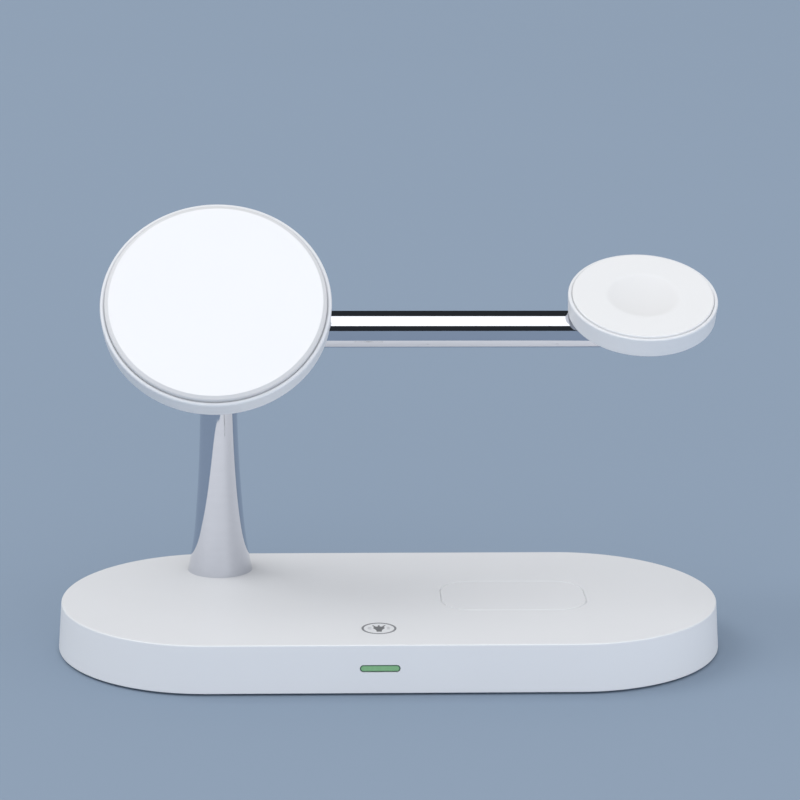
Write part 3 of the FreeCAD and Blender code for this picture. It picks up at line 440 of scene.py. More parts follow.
def window_painted_glow_and_shade():
    """Green translucent pane with fine vertical guide lines; a painted glow in its paler middle stands in
    for the indicator lamp behind it, and painted shade darkens its rim.
    """
    made = Finish("green_window", Coat_Weight=0.25, Emission_Strength=0.35)
    x = abs(made.axis("X") - CONTROL_X) - (WINDOW_LENGTH - WINDOW_HEIGHT) / 2
    z = made.axis("Z") - (WALL_FOOT + WINDOW_LEVEL)
    # rim is where painted shade darkens the pane towards its edge
    rim = ((x.maths("MAXIMUM", x, 0.0) ** 2.0 + z ** 2.0) ** 0.5).step(*PANE_PAINTED_SHADE)
    guide = made.noise(400.0, 2.0, (3.0, 1.0, 0.4))
    face = guide.blend((0.195, 0.40, 0.185), (0.25, 0.465, 0.24))
    made.link("Base Color", rim.blend(face, (0.045, 0.13, 0.075)))
    made.link("Roughness", guide * 0.1 + 0.28)
    # Painted glow: the pane is no lamp, yet its middle glows as if the indicator lamp behind it shone
    # through
    made.link("Emission Color", rim.blend((0.04, 0.13, 0.05), (0.0, 0.0, 0.0)))
    return made.material


def wound_copper():
    """Enamelled wire: fine waves stand for the turns."""
    made = Finish("copper", Metallic=1.0)
    wave = made.wires.add("ShaderNodeTexWave", {"wave_type": "RINGS"},
                          {"Vector": made.spot, "Scale": 260.0, "Distortion": 0.4})
    made.link("Base Color", wave.blend((0.42, 0.16, 0.07), (0.72, 0.33, 0.16)))
    made.link("Roughness", made.noise(300.0) * 0.1 + 0.28)
    made.relief(wave, 0.4, 0.0002)
    return made.material


def circuit_green():
    """Lacquered board with faint tracks in a square cell pattern."""
    made = Finish("board_green", Coat_Weight=0.3)
    cells = made.wires.add("ShaderNodeTexVoronoi", {"distance": "CHEBYCHEV", "feature": "F1"},
                           {"Vector": made.spot, "Scale": 260.0}, "Distance")
    track = cells.step(0.28, 0.34)
    made.link("Base Color", track.blend((0.02, 0.16, 0.06), (0.015, 0.10, 0.04)))
    made.link("Roughness", made.noise(500.0) * 0.1 + 0.35)
    return made.material


def make_finishes():
    """All finishes by name: one for each slot of the part, and three for the print on the key."""
    return {
        "white_plastic": moulded("white_plastic", (0.745, 0.75, 0.76), (0.785, 0.79, 0.80),
                                 0.42, 5200.0, 0.05),
        # The shaded colour of white_face is painted shade on the phone face's bevelled edge
        "white_face": moulded("white_face", (0.84, 0.832, 0.827), (0.86, 0.852, 0.847),
                              0.36, 7000.0, 0.02, pad_edge_painted_shade, (0.675, 0.668, 0.665)),
        # The shaded colour of watch_white is painted shade over the watch face's dish
        "watch_white": moulded("watch_white", (0.80, 0.795, 0.785), (0.82, 0.815, 0.805),
                               0.34, 7000.0, 0.02, dish_painted_shade, (0.78, 0.773, 0.763)),
        "chrome": metal("chrome", (0.67, 0.685, 0.735), (0.71, 0.725, 0.775), 0.015, (0.02, 1.0, 1.0)),
        "green_window": window_painted_glow_and_shade(),
        "grey_rubber": moulded("grey_rubber", (0.10, 0.10, 0.105), (0.15, 0.15, 0.155), 0.72, 2600.0, 0.5),
        "steel": metal("steel", (0.50, 0.51, 0.52), (0.63, 0.63, 0.64), 0.22, (1.0, 0.05, 1.0)),
        "brass": metal("brass", (0.62, 0.45, 0.18), (0.74, 0.56, 0.26), 0.24, (0.05, 1.0, 1.0)),
        "copper": wound_copper(),
        "ferrite": moulded("ferrite", (0.022, 0.022, 0.024), (0.05, 0.05, 0.052), 0.6, 1800.0, 0.3),
        "board_green": circuit_green(),
        "black_plastic": moulded("black_plastic", (0.012, 0.012, 0.013), (0.03, 0.03, 0.032),
                                 0.4, 3000.0, 0.1),
        "lamp_white": moulded("lamp_white", (0.74, 0.76, 0.68), (0.82, 0.84, 0.76), 0.3, 3000.0, 0.05),
        "foam": moulded("foam", (0.06, 0.06, 0.065), (0.12, 0.12, 0.125), 0.9, 900.0, 0.8),
        "cable_black": moulded("cable_black", (0.014, 0.014, 0.015), (0.03, 0.03, 0.03), 0.5, 2400.0, 0.2),
        "key_print": moulded("key_print", (0.17, 0.175, 0.18), (0.20, 0.205, 0.21), 0.5, 4000.0, 0.05),
        "key_line": moulded("key_line", (0.22, 0.225, 0.235), (0.26, 0.265, 0.275), 0.45, 4000.0, 0.05),
        "key_shade": moulded("key_shade", (0.41, 0.415, 0.425), (0.46, 0.465, 0.475), 0.45, 4000.0, 0.05),
    }


finishes = make_finishes()


# Base

def wall_reach(height):
    """Distance of the drafted wall from the cover's middle line at a height above the wall's foot."""
    return FOOT_REACH - SLOPE * height


def edge_centre(height, radius):
    """Centre of a rounding that is tangent to the drafted wall."""
    return wall_reach(height) - radius / math.cos(DRAFT), height


def base_cover():
    """Drafted stadium-shaped cover with rounded edges, hairline grooves, a window and an inlet opening."""
    skin = Skin(standing(0, 0, WALL_FOOT))
    rim = ring_path(HALF_STRAIGHT, steps=RIM_STEPS)
    lean = math.degrees(DRAFT)
    top_centre = edge_centre(BASE_HEIGHT - TOP_ROUND, TOP_ROUND)
    foot_centre = edge_centre(FOOT_ROUND, FOOT_ROUND)
    top_edge = bend(top_centre, TOP_ROUND, lean, 90)
    foot_edge = bend(foot_centre, FOOT_ROUND, -90, lean, steps=5)
    wall = straight(foot_edge[0][-1], top_edge[0][0])
    roof_under = BASE_HEIGHT - BASE_ROOF
    inner_wall = straight((INNER_REACH, roof_under), (INNER_REACH, 0))
    sweep(skin, rim, top_edge)
    sweep(skin, rim, foot_edge)
    sweep(skin, rim, straight((INNER_REACH, 0), (foot_centre[0], 0)))
    sweep(skin, rim, straight((0, roof_under), (INNER_REACH, roof_under)))
    for x, first in ((HALF_STRAIGHT, -90), (-HALF_STRAIGHT, 90)):
        end = arc_path(x, first, first + 180, RIM_STEPS // 2)
        sweep(skin, end, wall, closed=False)
        sweep(skin, end, inner_wall, closed=False)

    window = ring_path((WINDOW_LENGTH - WINDOW_HEIGHT) / 2, 0, CONTROL_X, WINDOW_LEVEL)
    inlet = ring_path((INLET_LENGTH - INLET_HEIGHT) / 2, 0, CONTROL_X, INLET_LEVEL)
    for side, opening, reach in ((-1, window, WINDOW_HEIGHT / 2), (1, inlet, INLET_HEIGHT / 2)):
        straight_wall(skin, side, opening, reach, wall[0][:, 1], roof_under)
    cover_top(skin, outline(rim, top_centre[0]))
    return skin


def straight_wall(skin, side, opening, reach, span, roof_under):
    """Flat stretch of the wall, outside and inside, with an oval opening and the opening's own wall."""
    hole = outline(opening, reach)

    def outer(flat):
        return np.column_stack([flat[:, 0], side * wall_reach(flat[:, 1]), flat[:, 1]])

    def inner(flat):
        return np.column_stack([flat[:, 0], np.full(len(flat), side * INNER_REACH), flat[:, 1]])

    for lift, (low, high), normal in (
        (outer, span, (0, side * math.cos(DRAFT), math.sin(DRAFT))),
        (inner, (0, roof_under), (0, -side, 0)),
    ):
        corners = np.array([[-1, low], [1, low], [1, high], [-1, high]]) * [HALF_STRAIGHT, 1]
        plate(skin, [corners, hole], lift, normal)
    tunnel = np.stack([outer(hole), inner(hole)], axis=1)
    inward = np.zeros_like(tunnel)
    inward[:, :, ::2] = -opening[1][:, None]
    skin.add(tunnel, inward, lattice(len(hole), 2, True))


def groove(skin, path, reach):
    """Hairline channel whose depth follows one raised cosine wave across its width."""
    across = np.linspace(-1, 1, LINE_STEPS + 1)
    depth = LINE_DEPTH / 2 * (1 + np.cos(math.pi * across))
    tilt = LINE_DEPTH * math.pi / LINE_WIDTH * np.sin(math.pi * across)
    section = np.stack([reach - LINE_WIDTH / 2 * (1 + across), BASE_HEIGHT - depth], axis=1)
    slant = np.stack([tilt, np.ones_like(tilt)], axis=1)
    sweep(skin, path, (section, slant / np.linalg.norm(slant, axis=1, keepdims=True)))
    return outline(path, reach), outline(path, reach - LINE_WIDTH)


def cover_top(skin, edge):
    """Flat top inside the rounded edge, cut by the hairlines of the key and of the earbuds mark."""
    key = ring_path(x=CONTROL_X, y=KEY_Y, steps=MARK_STEPS)
    mark = ring_path(MARK_WIDTH / 2 - MARK_ROUND, MARK_DEPTH / 2 - MARK_ROUND, MARK_X, MARK_Y, MARK_STEPS)
    key_loops = groove(skin, key, KEY_RADIUS)
    mark_loops = groove(skin, mark, MARK_ROUND)
    plate(skin, [edge, key_loops[0], mark_loops[0]], level(BASE_HEIGHT), UP)
    plate(skin, [key_loops[1]], level(BASE_HEIGHT), UP)
    plate(skin, [mark_loops[1]], level(BASE_HEIGHT), UP)


def slab(skin, path, reach, low, high, rounding):
    """Closed plate with an outline at one reach, its upper edge rounded."""
    edge = bend((reach - rounding, high - rounding), rounding, 0, 90, steps=5)
    sweep(skin, path, straight((reach, low), (reach, high - rounding)))
    sweep(skin, path, edge)
    top, under = outline(path, reach - rounding), outline(path, reach)
    plate(skin, [top], level(high), UP)
    plate(skin, [under], level(low), -UP)
    return skin


def window_pane():
    """Oval pane, slightly domed at its edge, seated in the front wall's opening."""
    front, back = wall_reach(WINDOW_LEVEL) - PANE_RECESS, INNER_REACH - PANE_FLANGE
    skin = Skin(facing_front())
    path = ring_path((WINDOW_LENGTH - WINDOW_HEIGHT) / 2, 0, CONTROL_X, WALL_FOOT + WINDOW_LEVEL)
    return slab(skin, path, WINDOW_HEIGHT / 2 - PANE_SLACK, back, front, PANE_ROUND)


def key_ring():
    """Flat printed ring with thin upright sides, which lies over the key's hairline."""
    skin = Skin(standing(CONTROL_X, KEY_Y, BASE_TOP))
    outer, inner = KEY_RADIUS + RING_LAP, KEY_RADIUS - LINE_WIDTH - RING_LAP
    low, high = -RING_SINK, PRINT_RISE
    corners = [(outer, low), (outer, high), (inner, high), (inner, low)]
    for start, end in zip(corners, corners[1:] + corners[:1]):
        sweep(skin, ring_path(steps=MARK_STEPS), straight(start, end))
    return skin


# Stand

def arc_through(start, end, towards):
    """Centre and radius of the arc from start to end whose centre lies from start in a direction."""
    towards = towards / np.linalg.norm(towards)
    gap = end - start
    radius = gap @ gap / (2 * towards @ gap)
    return start + towards * radius, radius


def post_profile():
    """Two tangent arcs that sweep the flared foot into the straight neck, seen from their hollow side."""
    neck, foot = np.array([NECK_RADIUS, NECK_HEIGHT]), np.array([FOOT_RADIUS, 0.0])
    upper, upper_radius = arc_through(neck, WAIST, np.array([1.0, 0.0]))
    lower, lower_radius = arc_through(WAIST, foot, upper - WAIST)
    runs = []
    for centre, radius, a, b in ((upper, upper_radius, neck, WAIST), (lower, lower_radius, WAIST, foot)):
        first, last = (math.degrees(math.atan2(*(point - centre)[::-1])) % 360 for point in (a, b))
        runs.append(hollow_bend(centre, radius, first, last, FLARE_STEPS))
    return runs


def post_skin():
    """Flared post coped to the arm, its shading leaning down so that its polish mirrors the base."""
    skin = Skin(standing(POST_X, POST_Y, BASE_TOP))
    turned(skin, *post_profile(), steps=NECK_STEPS)
    wall, saddle = coped_neck()
    skin.add(*wall)
    lean = math.tan(math.radians(POST_SHADING_LEAN))
    skin.normals = [lean_down(normal, lean) for normal in skin.normals]
    skin.add(*saddle)
    return turned(skin, straight((0, 0), (FOOT_RADIUS, 0)), steps=NECK_STEPS)


def coped_neck():
    """Wall and saddle of the neck, cut by a cylinder about the arm's axis.

    The cut's height is the axis height less the root of the seat's square minus y squared, and ends
    short of the axis in front and behind; the wall rises to it, and the saddle fills it at every
    smaller radius.
    """
    angle = np.linspace(0, 2 * math.pi, NECK_STEPS, endpoint=False)[:, None]
    share = np.linspace(0, 1, SADDLE_STEPS + 1)[None]
    axis = ARM_Z - BASE_TOP

    def cut(y):
        clear = np.where(y < 0, NECK_CLEAR, NECK_BACK)
        return axis - np.sqrt(np.maximum(NECK_SEAT ** 2 - y ** 2, clear ** 2))

    def grid(reach, height):
        return np.stack(np.broadcast_arrays(reach * np.cos(angle), reach * np.sin(angle), height), axis=2)

    edge = cut(NECK_RADIUS * np.sin(angle))
    wall = grid(NECK_RADIUS + 0 * share, NECK_HEIGHT + share * (edge - NECK_HEIGHT))
    saddle = grid(NECK_RADIUS * share, cut(NECK_RADIUS * share * np.sin(angle)))
    inward = np.array([0, 0, axis]) - saddle * [0, 1, 1]
    inward /= np.linalg.norm(inward, axis=2, keepdims=True)
    corners = lattice(NECK_STEPS, share.size, True)
    return (wall, grid(1.0 + 0 * share, 0.0), corners), (saddle, inward, corners)


def lean_down(normals, lean):
    """Normals tipped towards the table and made unit length again."""
    tipped = normals - lean * UP
    return tipped / np.linalg.norm(tipped, axis=1, keepdims=True)


def arm_skin():
    """Straight tube with rounded outer ends, an open bore and a slot; its underside is shaded flatter."""
    skin = Skin(along_arm(standing(0, POST_Y, ARM_Z)))
    slot_left, slot_right = POST_X - SLOT_HALF, POST_X + SLOT_HALF
    edge = ARM_RADIUS - ARM_ROUND
    turned(
        skin,
        straight((ARM_BORE, ARM_LEFT), (edge, ARM_LEFT)),
        bend((edge, ARM_LEFT + ARM_ROUND), ARM_ROUND, -90, 0, steps=4),
        straight((ARM_RADIUS, ARM_LEFT + ARM_ROUND), (ARM_RADIUS, slot_left)),
        straight((ARM_RADIUS, slot_right), (ARM_RADIUS, ARM_RIGHT - ARM_ROUND)),
        bend((edge, ARM_RIGHT - ARM_ROUND), ARM_ROUND, 0, 90, steps=4),
        straight((edge, ARM_RIGHT), (ARM_BORE, ARM_RIGHT)),
        straight((ARM_BORE, ARM_RIGHT), (ARM_BORE, slot_right)),
        straight((ARM_BORE, slot_left), (ARM_BORE, ARM_LEFT)),
        steps=ARM_STEPS,
    )
    lead_slot(skin, slot_left, slot_right)
    skin.normals = [flatter_below(normal, skin.place[2, :3]) for normal in skin.normals]
    return skin


def lead_slot(skin, left, right):
    """Tube between two levels, open over a part of its turn, and the four walls of that opening."""
    first, last = (360 / ARM_STEPS * step for step in (SLOT_FIRST, SLOT_LAST))
    kept = arc_path(0, last, first + 360, ARM_STEPS - SLOT_LAST + SLOT_FIRST)
    sweep(skin, kept, straight((ARM_RADIUS, left), (ARM_RADIUS, right)), closed=False)
    sweep(skin, kept, straight((ARM_BORE, right), (ARM_BORE, left)), closed=False)
    opened = arc_path(0, first, last, SLOT_LAST - SLOT_FIRST)
    sweep(skin, opened, straight((ARM_RADIUS, left), (ARM_BORE, left)), closed=False)
    sweep(skin, opened, straight((ARM_BORE, right), (ARM_RADIUS, right)), closed=False)
    for angle, way in ((first, 1), (last, -1)):
        c, s = math.cos(math.radians(angle)), math.sin(math.radians(angle))
        reach = np.array([ARM_BORE, ARM_RADIUS])[:, None]
        wall = np.stack(np.broadcast_arrays(reach * c, reach * s, [left, right]), axis=2)
        skin.add(wall, np.broadcast_to([-way * s, way * c, 0.0], wall.shape), lattice(2, 2, False))


def flatter_below(normals, upward):
    """Normals that point down, with the steepness of their fall cut to a share."""
    rise = normals @ upward
    eased = normals - np.minimum(rise, 0)[:, None] * (1 - ARM_SHADING_RISE) * upward
    return eased / np.linalg.norm(eased, axis=1, keepdims=True)


def arm_cap_skin():
    """Domed plug that closes the arm's left end."""
    skin = Skin(along_arm(standing(0, POST_Y, ARM_Z)))
    inner, plug, end = ARM_RADIUS - CAP_ROUND, ARM_BORE - CAP_SLACK, ARM_LEFT + CAP_PLUG
    return turned(
        skin,
        straight((0, CAP_LEFT), (inner, CAP_LEFT)),
        bend((inner, CAP_LEFT + CAP_ROUND), CAP_ROUND, -90, 0),
        straight((ARM_RADIUS, CAP_LEFT + CAP_ROUND), (ARM_RADIUS, ARM_LEFT)),
        straight((ARM_RADIUS, ARM_LEFT), (plug, ARM_LEFT)),
        straight((plug, ARM_LEFT), (plug, end)),
        straight((plug, end), (0, end)),
        steps=NARROW_TURN,
    )


# Heads

def cup(skin, back, back_reach, back_round, rim, rim_reach, rim_round, bore, seat, room, floor):
    """Round cup: flat back, rounded back edge, slightly flared wall, soft rim and a stepped bore."""
    flare = math.atan2(rim_reach - back_reach, rim - back)
    tilt = -math.degrees(flare)

    def wall_at(height):
        return back_reach + (height - back) * math.tan(flare)

    low = (wall_at(back + back_round) - back_round / math.cos(flare), back + back_round)
    high = (wall_at(rim - rim_round) - rim_round / math.cos(flare), rim - rim_round)
    back_edge = bend(low, back_round, -90, tilt)
    rim_edge = bend(high, rim_round, tilt, 90)
    lip = (bore + rim_round, rim - rim_round)
    return turned(
        skin,
        straight((0, back), (low[0], back)),
        back_edge,
        straight(back_edge[0][-1], rim_edge[0][0]),
        rim_edge,
        straight((high[0], rim), (lip[0], rim)),
        bend(lip, rim_round, 90, 180),
        straight((bore, lip[1]), (bore, seat)),
        straight((bore, seat), (room, seat)),
        straight((room, seat), (room, floor)),
        straight((room, floor), (0, floor)),
        steps=WIDE_TURN,
    )


def phone_pad():
    """Phone face: a flat disc whose edge is a narrow cone that rounds over into its side."""
    reach, under = PHONE_CUP["bore"] - PAD_SLACK, PHONE_CUP["seat"]
    tilt = math.degrees(math.atan2(PAD_RUN, PAD_FALL))
    ease = PAD_FINE * math.tan(math.radians(90 - tilt) / 2)
    side_ease = PAD_ROUND * math.tan(math.radians(tilt) / 2)
    inner = bend((reach - PAD_RUN - ease, PHONE_FACE - PAD_FINE), PAD_FINE, tilt, 90)
    outer = bend((reach - PAD_ROUND, PHONE_FACE - PAD_FALL - side_ease), PAD_ROUND, 0, tilt)
    return turned(
        Skin(lying(PHONE_LEAN, POST_X)),
        straight((0, under), (reach, under)),
        straight((reach, under), outer[0][0]),
        outer,
        straight(outer[0][-1], inner[0][0]),
        inner,
        straight(inner[0][-1], (0, PHONE_FACE)),
        steps=WIDE_TURN,
    )


def watch_dish():
    """Watch face: a shallow bowl that runs into the flat ring through a wide soft edge."""
    bowl = (DISH_REACH ** 2 + DISH_DEPTH ** 2) / (2 * DISH_DEPTH)
    bowl_centre = WATCH_FACE - DISH_DEPTH + bowl
    edge = math.sqrt((bowl + DISH_SOFT) ** 2 - (bowl_centre - WATCH_FACE + DISH_SOFT) ** 2)
    turn = math.degrees(math.asin(edge / (bowl + DISH_SOFT)))
    reach, under = WATCH_CUP["bore"] - FACE_SLACK, WATCH_CUP["seat"]
    return turned(
        Skin(lying(WATCH_LEAN, WATCH_X)),
        straight((0, under), (reach, under)),
        straight((reach, under), (reach, WATCH_FACE - FACE_ROUND)),
        bend((reach - FACE_ROUND, WATCH_FACE - FACE_ROUND), FACE_ROUND, 0, 90),
        straight((reach - FACE_ROUND, WATCH_FACE), (edge, WATCH_FACE)),
        bend((edge, WATCH_FACE - DISH_SOFT), DISH_SOFT, 90, 90 + turn, steps=12),
        hollow_bend((0, bowl_centre), bowl, 270 + turn, 270, steps=24),
        steps=WIDE_TURN,
    )


def prism(skin, loop, low, high, rounding=0.0):
    """Straight prism between two levels, with flat ends and one side for each edge of the loop.

    Each ring of a rounded end lies inside the loop by the rounding times one minus the cosine of its
    angle, and short of the end by the rounding times one minus the sine.
    """
    run = np.roll(loop, -1, axis=0) - loop
    outward = np.column_stack([run[:, 1], -run[:, 0]]) / np.linalg.norm(run, axis=1, keepdims=True)
    before = np.roll(outward, 1, axis=0)
    mitre = (outward + before) / (1 + (outward * before).sum(axis=1, keepdims=True))
    turn = np.linspace(0, math.pi / 2, 5) if rounding else np.zeros(1)
    short = rounding * (1 - np.sin(turn))
    height = np.concatenate([low + short[::-1], high - short])
    slant = np.concatenate([-turn[::-1], turn])
    rings = loop[:, None] - rounding * (1 - np.cos(slant))[:, None] * mitre[:, None]
    sides = np.empty((len(loop), 2, len(height), 3))
    sides[:, 0, :, :2], sides[:, 1, :, :2], sides[..., 2] = rings, np.roll(rings, -1, axis=0), height
    normals = np.empty_like(sides)
    normals[..., :2] = np.cos(slant)[:, None] * outward[:, None, None]
    normals[..., 2] = np.sin(slant)
    first = 2 * len(height) * np.arange(len(loop))[:, None, None]
    skin.add(sides, normals, (first + lattice(2, len(height), False)).reshape(-1, 3))
    plate(skin, [rings[:, -1]], level(high), UP)
    plate(skin, [rings[:, 0]], level(low), -UP)
    return skin


def sideways(place):
    """The given frame turned so that a prism's loop lies in (y, z) and its height runs along x."""
    turn = np.array([[0, 0, 1, 0], [1, 0, 0, 0], [0, 1, 0, 0], [0, 0, 0, 1.0]])
    return place @ turn


def hinge_ears():
    """Two slanting ears on the cup's back, hollowed by a half-round saddle for the arm."""
    half, root, top, saddle, rounding = 8.2, 10.7, 8.76, 4.8, 0.5
    near, far = 5.5, 12.5
    angle = np.linspace(0, math.pi, 33)
    hollow = saddle * np.column_stack([np.cos(angle), np.sin(angle)])
    loop = np.concatenate([[(half, 0), (root, top), (-root, top), (-half, 0)], hollow[::-1]])
    skin = Skin(sideways(lying(PHONE_LEAN, POST_X)))
    for low, high in ((near, far), (-far, -near)):
        prism(skin, loop, low, high, rounding)
    return skin


def hinge_barrel():
    """Round barrel under the watch cup, with a rounded free end."""
    skin = Skin(along_arm(lying(WATCH_LEAN, WATCH_X)))
    radius, start, end, rounding, small = 4.75, -8.0, 9.0, 0.8, 0.2
    return turned(
        skin,
        straight((0, start), (radius - small, start)),
        bend((radius - small, start + small), small, -90, 0, steps=4),
        straight((radius, start + small), (radius, end - rounding)),
        bend((radius - rounding, end - rounding), rounding, 0, 90),
        straight((radius - rounding, end), (0, end)),
        steps=NARROW_TURN,
    )


def hinge_web():
    """Short web that joins the barrel to the cup's back."""
    half, top, left, right, rounding = 3.2, 5.6, -7.9, 8.6, 0.4
    loop = np.array([(half, 0), (half, top), (-half, top), (-half, 0)])
    return prism(Skin(sideways(lying(WATCH_LEAN, WATCH_X))), loop, left, right, rounding)


# Sign on the key

def stroke(start, end, width):
    """Narrow bar with square ends between two points."""
    start, end = np.array(start), np.array(end)
    run = (end - start) / np.linalg.norm(end - start)
    side = np.array([-run[1], run[0]]) * width / 2
    return np.array([start - side, end - side, end + side, start + side])


def bulb_loop():
    """Lamp outline: most of a wide oval, drawn in to a long neck."""
    half_width, half_height, rise = 1.42, 1.1, 0.3
    shoulder, shoulder_level, foot, foot_level = 0.72, -1.3, 0.6, -2.5
    angle = np.radians(np.linspace(-35, 215, 49))
    head = np.column_stack([half_width * np.cos(angle), half_height * np.sin(angle) + rise])
    neck = np.array([(-shoulder, shoulder_level), (-foot, foot_level), (foot, foot_level),
                     (shoulder, shoulder_level)])
    return np.concatenate([head, neck])


def sign_skin(loops):
    """Thin prints that lie on the key."""
    skin = Skin(standing(CONTROL_X, KEY_Y, BASE_TOP))
    for loop in loops:
        prism(skin, loop, -PRINT_SINK, PRINT_RISE)
    return skin


def lamp_loops():
    """The lamp and three short rays over it."""
    width = 0.42
    rays = [((0, 1.5), (0, 2.3)), ((-0.95, 1.2), (-1.5, 2.2)), ((0.95, 1.2), (1.5, 2.2))]
    return [bulb_loop(), *(stroke(start, end, width) for start, end in rays)]


def side_loops():
    """Faint bars at both sides of the lamp."""
    starts, length, width = [(1.85, 0.9), (2.05, 0.2), (1.85, -0.5)], 0.75, 0.26
    return [stroke((side * x, y), (side * (x + length), y), width) for side in (-1, 1) for x, y in starts]


# Pieces

piece("base_cover", base_cover(), "stand", "white_plastic", "base_top_cover")
piece("window_pane", window_pane(), "stand", "green_window", "indicator_window")
piece("key_ring", key_ring(), "stand", "grey_rubber", finish="key_line")
piece("key_lamp_sign", sign_skin(lamp_loops()), "stand", "grey_rubber", finish="key_print")
piece("key_side_signs", sign_skin(side_loops()), "stand", "grey_rubber", finish="key_shade")
piece("flared_post", post_skin(), "stand", "chrome", "stand_post")
piece("arm_tube", arm_skin(), "stand", "chrome", "cross_arm")
piece("arm_cap", arm_cap_skin(), "stand", "chrome", "arm_end_cap")
phone_cup = cup(Skin(lying(PHONE_LEAN, POST_X)), **PHONE_CUP)
piece("phone_cup", phone_cup, "phone_head", "white_plastic", "phone_rear_shell")
piece("phone_hinge_ears", hinge_ears(), "phone_head", "white_plastic")
piece("phone_pad", phone_pad(), "phone_head", "white_face", "phone_face_pad")
watch_cup = cup(Skin(lying(WATCH_LEAN, WATCH_X)), **WATCH_CUP)
piece("watch_cup", watch_cup, "watch_head", "white_plastic", "watch_rear_shell")
piece("watch_barrel", hinge_barrel(), "watch_head", "white_plastic")
piece("watch_web", hinge_web(), "watch_head", "white_plastic")
piece("watch_dish", watch_dish(), "watch_head", "watch_white", "watch_face")


# Finishes of the solids that stay

NODE_FINISH = {
    "white_plastic": ["base_bottom_plate", "phone_clamp_left", "phone_clamp_right"],
    "grey_rubber": ["anti_slip_pad"],
    "steel": ["base_screws", "counterweight", "post_nut", "post_washer", "inlet_shell",
              "phone_clamp_screws", "watch_hinge_pin", "watch_hinge_clip", "phone_magnets", "watch_magnet"],
    "brass": ["watch_hinge_bush"],
    "copper": ["earbuds_coil", "phone_coil", "watch_coil", "touch_electrode"],
    "ferrite": ["earbuds_ferrite", "phone_ferrite", "watch_ferrite", "power_choke"],
    "board_green": ["control_board"],
    "black_plastic": ["driver_chips", "inlet_tongue", "watch_hinge_spacer"],
    "lamp_white": ["indicator_lamps"],
    "foam": ["touch_foam"],
    "cable_black": ["stand_cable", "phone_lead", "watch_lead"],
}

for slot, names in NODE_FINISH.items():
    for name in names:
        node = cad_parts[name]
        node.data.materials.clear()
        node.data.materials.append(finishes[slot])


# Studio

def floor_finish():
    """Plain pale blue-grey sweep with a faint drift."""
    made = Finish("floor", Roughness=0.95, Specular_IOR_Level=0.0)
    made.link("Base Color", made.noise(1.5).blend((0.253, 0.319, 0.405), (0.261, 0.328, 0.416)))
    return made.material


def sheet_object(name, points, corners, finish):
    """Part of the studio made of flat faces."""
    made = bpy.data.meshes.new(name)
    made.from_pydata(points, [], corners)
    made.materials.append(finish)
    item = bpy.data.objects.new(name, made)
    bpy.context.scene.collection.objects.link(item)
    return item


FLOOR_REACH = 30.0
floor_corners = np.array([(-1, -1, 0), (1, -1, 0), (1, 1, 0), (-1, 1, 0)]) * FLOOR_REACH
sheet_object("floor", floor_corners.tolist(), [(0, 1, 2, 3)], floor_finish())


def dark_finish():
    """Near black of the room, as polished metal shows it."""
    black, glow = rgba((0.0, 0.0, 0.0)), rgba((0.026, 0.030, 0.034))
    return Finish("dark_room", Base_Color=black, Specular_IOR_Level=0.0, Emission_Color=glow,
                  Emission_Strength=1.0).material


def dark_room():
    """Dome behind the lamp, seen only in reflections: it keeps the chrome's dark bands."""
    radius, foot, rings, turns = 45.0, -0.002, 12, 48
    height = np.linspace(foot, math.pi / 2, rings)[None]
    angle = np.linspace(0, 2 * math.pi, turns, endpoint=False)[:, None]
    dome = radius * np.stack(np.broadcast_arrays(
        np.cos(height) * np.cos(angle), np.cos(height) * np.sin(angle), np.sin(height)), axis=2)
    triangles = lattice(turns, rings, True)
    room = sheet_object("dark_room", dome.reshape(-1, 3).tolist(), triangles.tolist(), dark_finish())
    for rays in ("camera", "diffuse", "transmission", "volume_scatter", "shadow"):
        setattr(room, f"visible_{rays}", False)


dark_room()

# Radiance of the lamps and of the even fill, the height of the soft box's edges in degrees, and tints
SOFT_BOX, OVERHEAD, FRONT, SIDE, CARD, FILL = 1.60, 2.23, 1.12, 1.65, 0.32, 0.85
LAMP_LOW, LAMP_HIGH, LAMP_DISTANCE, LAMP_WIDTH = 34.0, 101.0, 16.0, 30.0
COOL, FILL_TINT, BACKDROP = (0.88, 0.96, 1.10), (0.975, 0.99, 1.02), (0.275, 0.352, 0.462)
# Camera of the photograph: lens and sensor in millimetres, place in metres and directions
LENS, SENSOR, CAMERA_PLACE = 117.0, 36.0, (-0.02034, -0.6303, 0.21671)
CAMERA_RIGHT, CAMERA_UP = (0.9994, -0.0343, 0.0064), (0.0019, 0.2357, 0.9718)
CAMERA_FORWARD = (0.0349, 0.9712, -0.2356)


def panel(name, radiance, place, facing_way, width, height, tint=(1.0, 1.0, 1.0), mirrored=False):
    """Soft rectangular lamp of an even radiance, which lights matt surfaces or else shows in mirrors."""
    lamp = bpy.data.lights.new(name, "AREA")
    lamp.shape, lamp.size, lamp.size_y, lamp.color = "RECTANGLE", width, height, tint
    lamp.energy = radiance * math.pi * width * height
    item = bpy.data.objects.new(name, lamp)
    item.location = place
    item.rotation_euler = (-Vector(facing_way)).to_track_quat("Z", "Y").to_euler()
    item.visible_camera, item.visible_glossy, item.visible_diffuse = False, mirrored, not mirrored
    bpy.context.scene.collection.objects.link(item)


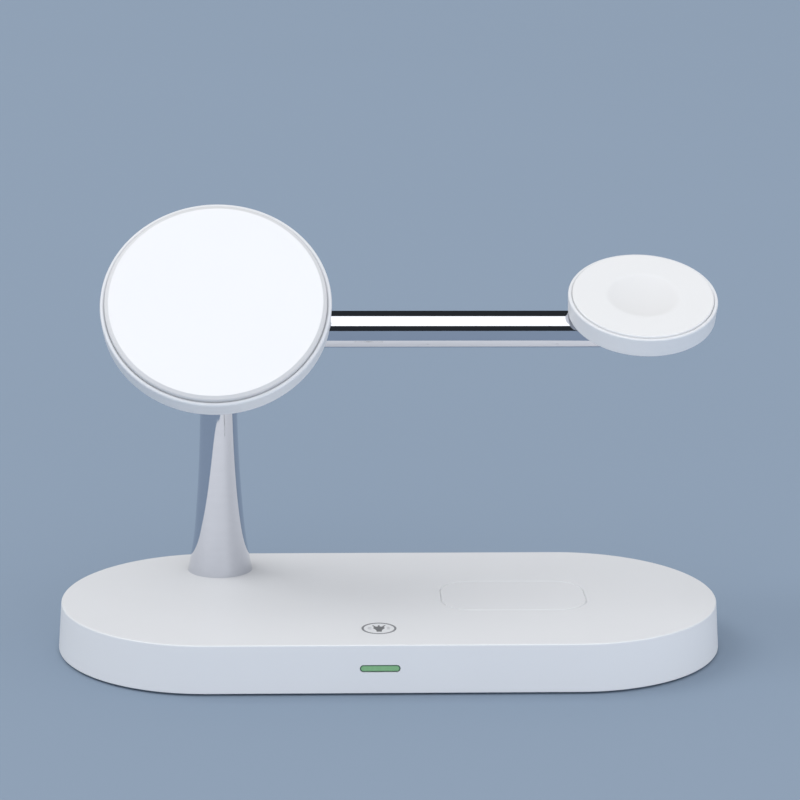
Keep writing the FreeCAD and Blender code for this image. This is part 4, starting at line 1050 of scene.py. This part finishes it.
def studio_lamps():
    """Soft box in front and above, lamp overhead, low panels in front and at the right, card below."""
    target = Vector((0, 0, ARM_Z * MM))
    middle, half = math.radians((LAMP_LOW + LAMP_HIGH) / 2), math.radians((LAMP_HIGH - LAMP_LOW) / 2)
    towards = Vector((-0.12, -math.cos(middle), math.sin(middle))).normalized()
    panel("soft_box", SOFT_BOX, target + towards * LAMP_DISTANCE, -towards, width=LAMP_WIDTH,
          height=2 * LAMP_DISTANCE * math.tan(half), mirrored=True)
    above, distance = Vector((-0.70, 0.20, 1.0)).normalized(), 10.0
    panel("overhead", OVERHEAD, target + above * distance, -above, width=6.5, height=6.5)
    panel("front", FRONT, (0, -10.0, 2.5), (0, 1, 0), width=20.0, height=4.75, tint=COOL)
    panel("side", SIDE, (3.6, -0.9, 0.4), (-1, 0.25, -0.08), width=3.0, height=1.2, tint=COOL)
    panel("card", CARD, (0, -0.36, 0.002), (0, 0, 1), width=0.9, height=0.46, tint=COOL)


def studio_world():
    """Backdrop colour for what is seen, mirrored or behind glass, and an even fill for the rest."""
    world = bpy.data.worlds.new("studio")
    bpy.context.scene.world = world
    world.use_nodes = True
    tree = world.node_tree
    wires = Wire(tree)
    seen = wires.add("ShaderNodeLightPath", output="Is Camera Ray")
    mirrored = wires.add("ShaderNodeLightPath", output="Is Glossy Ray")
    through = wires.add("ShaderNodeLightPath", output="Is Transmission Ray")
    shown = seen + mirrored + through
    colour = shown.maths("MINIMUM", shown, 1.0).blend([FILL * part for part in FILL_TINT], BACKDROP)
    tree.links.new(colour.socket, tree.nodes["Background"].inputs["Color"])


def photo_camera():
    """Camera at the photograph's place, turned by its right, up and forward directions."""
    camera = bpy.data.cameras.new("camera")
    camera.lens, camera.sensor_width = LENS, SENSOR
    camera.clip_start, camera.clip_end = 0.01, 100.0
    item = bpy.data.objects.new("camera", camera)
    right, up, forward = (Vector(way).normalized() for way in (CAMERA_RIGHT, CAMERA_UP, CAMERA_FORWARD))
    turn = Matrix((right, up, -forward)).transposed().to_4x4()
    item.matrix_world = Matrix.Translation(CAMERA_PLACE) @ turn
    bpy.context.scene.collection.objects.link(item)
    bpy.context.scene.camera = item


studio_lamps()
studio_world()
photo_camera()
bpy.context.scene.view_settings.view_transform = "Standard"
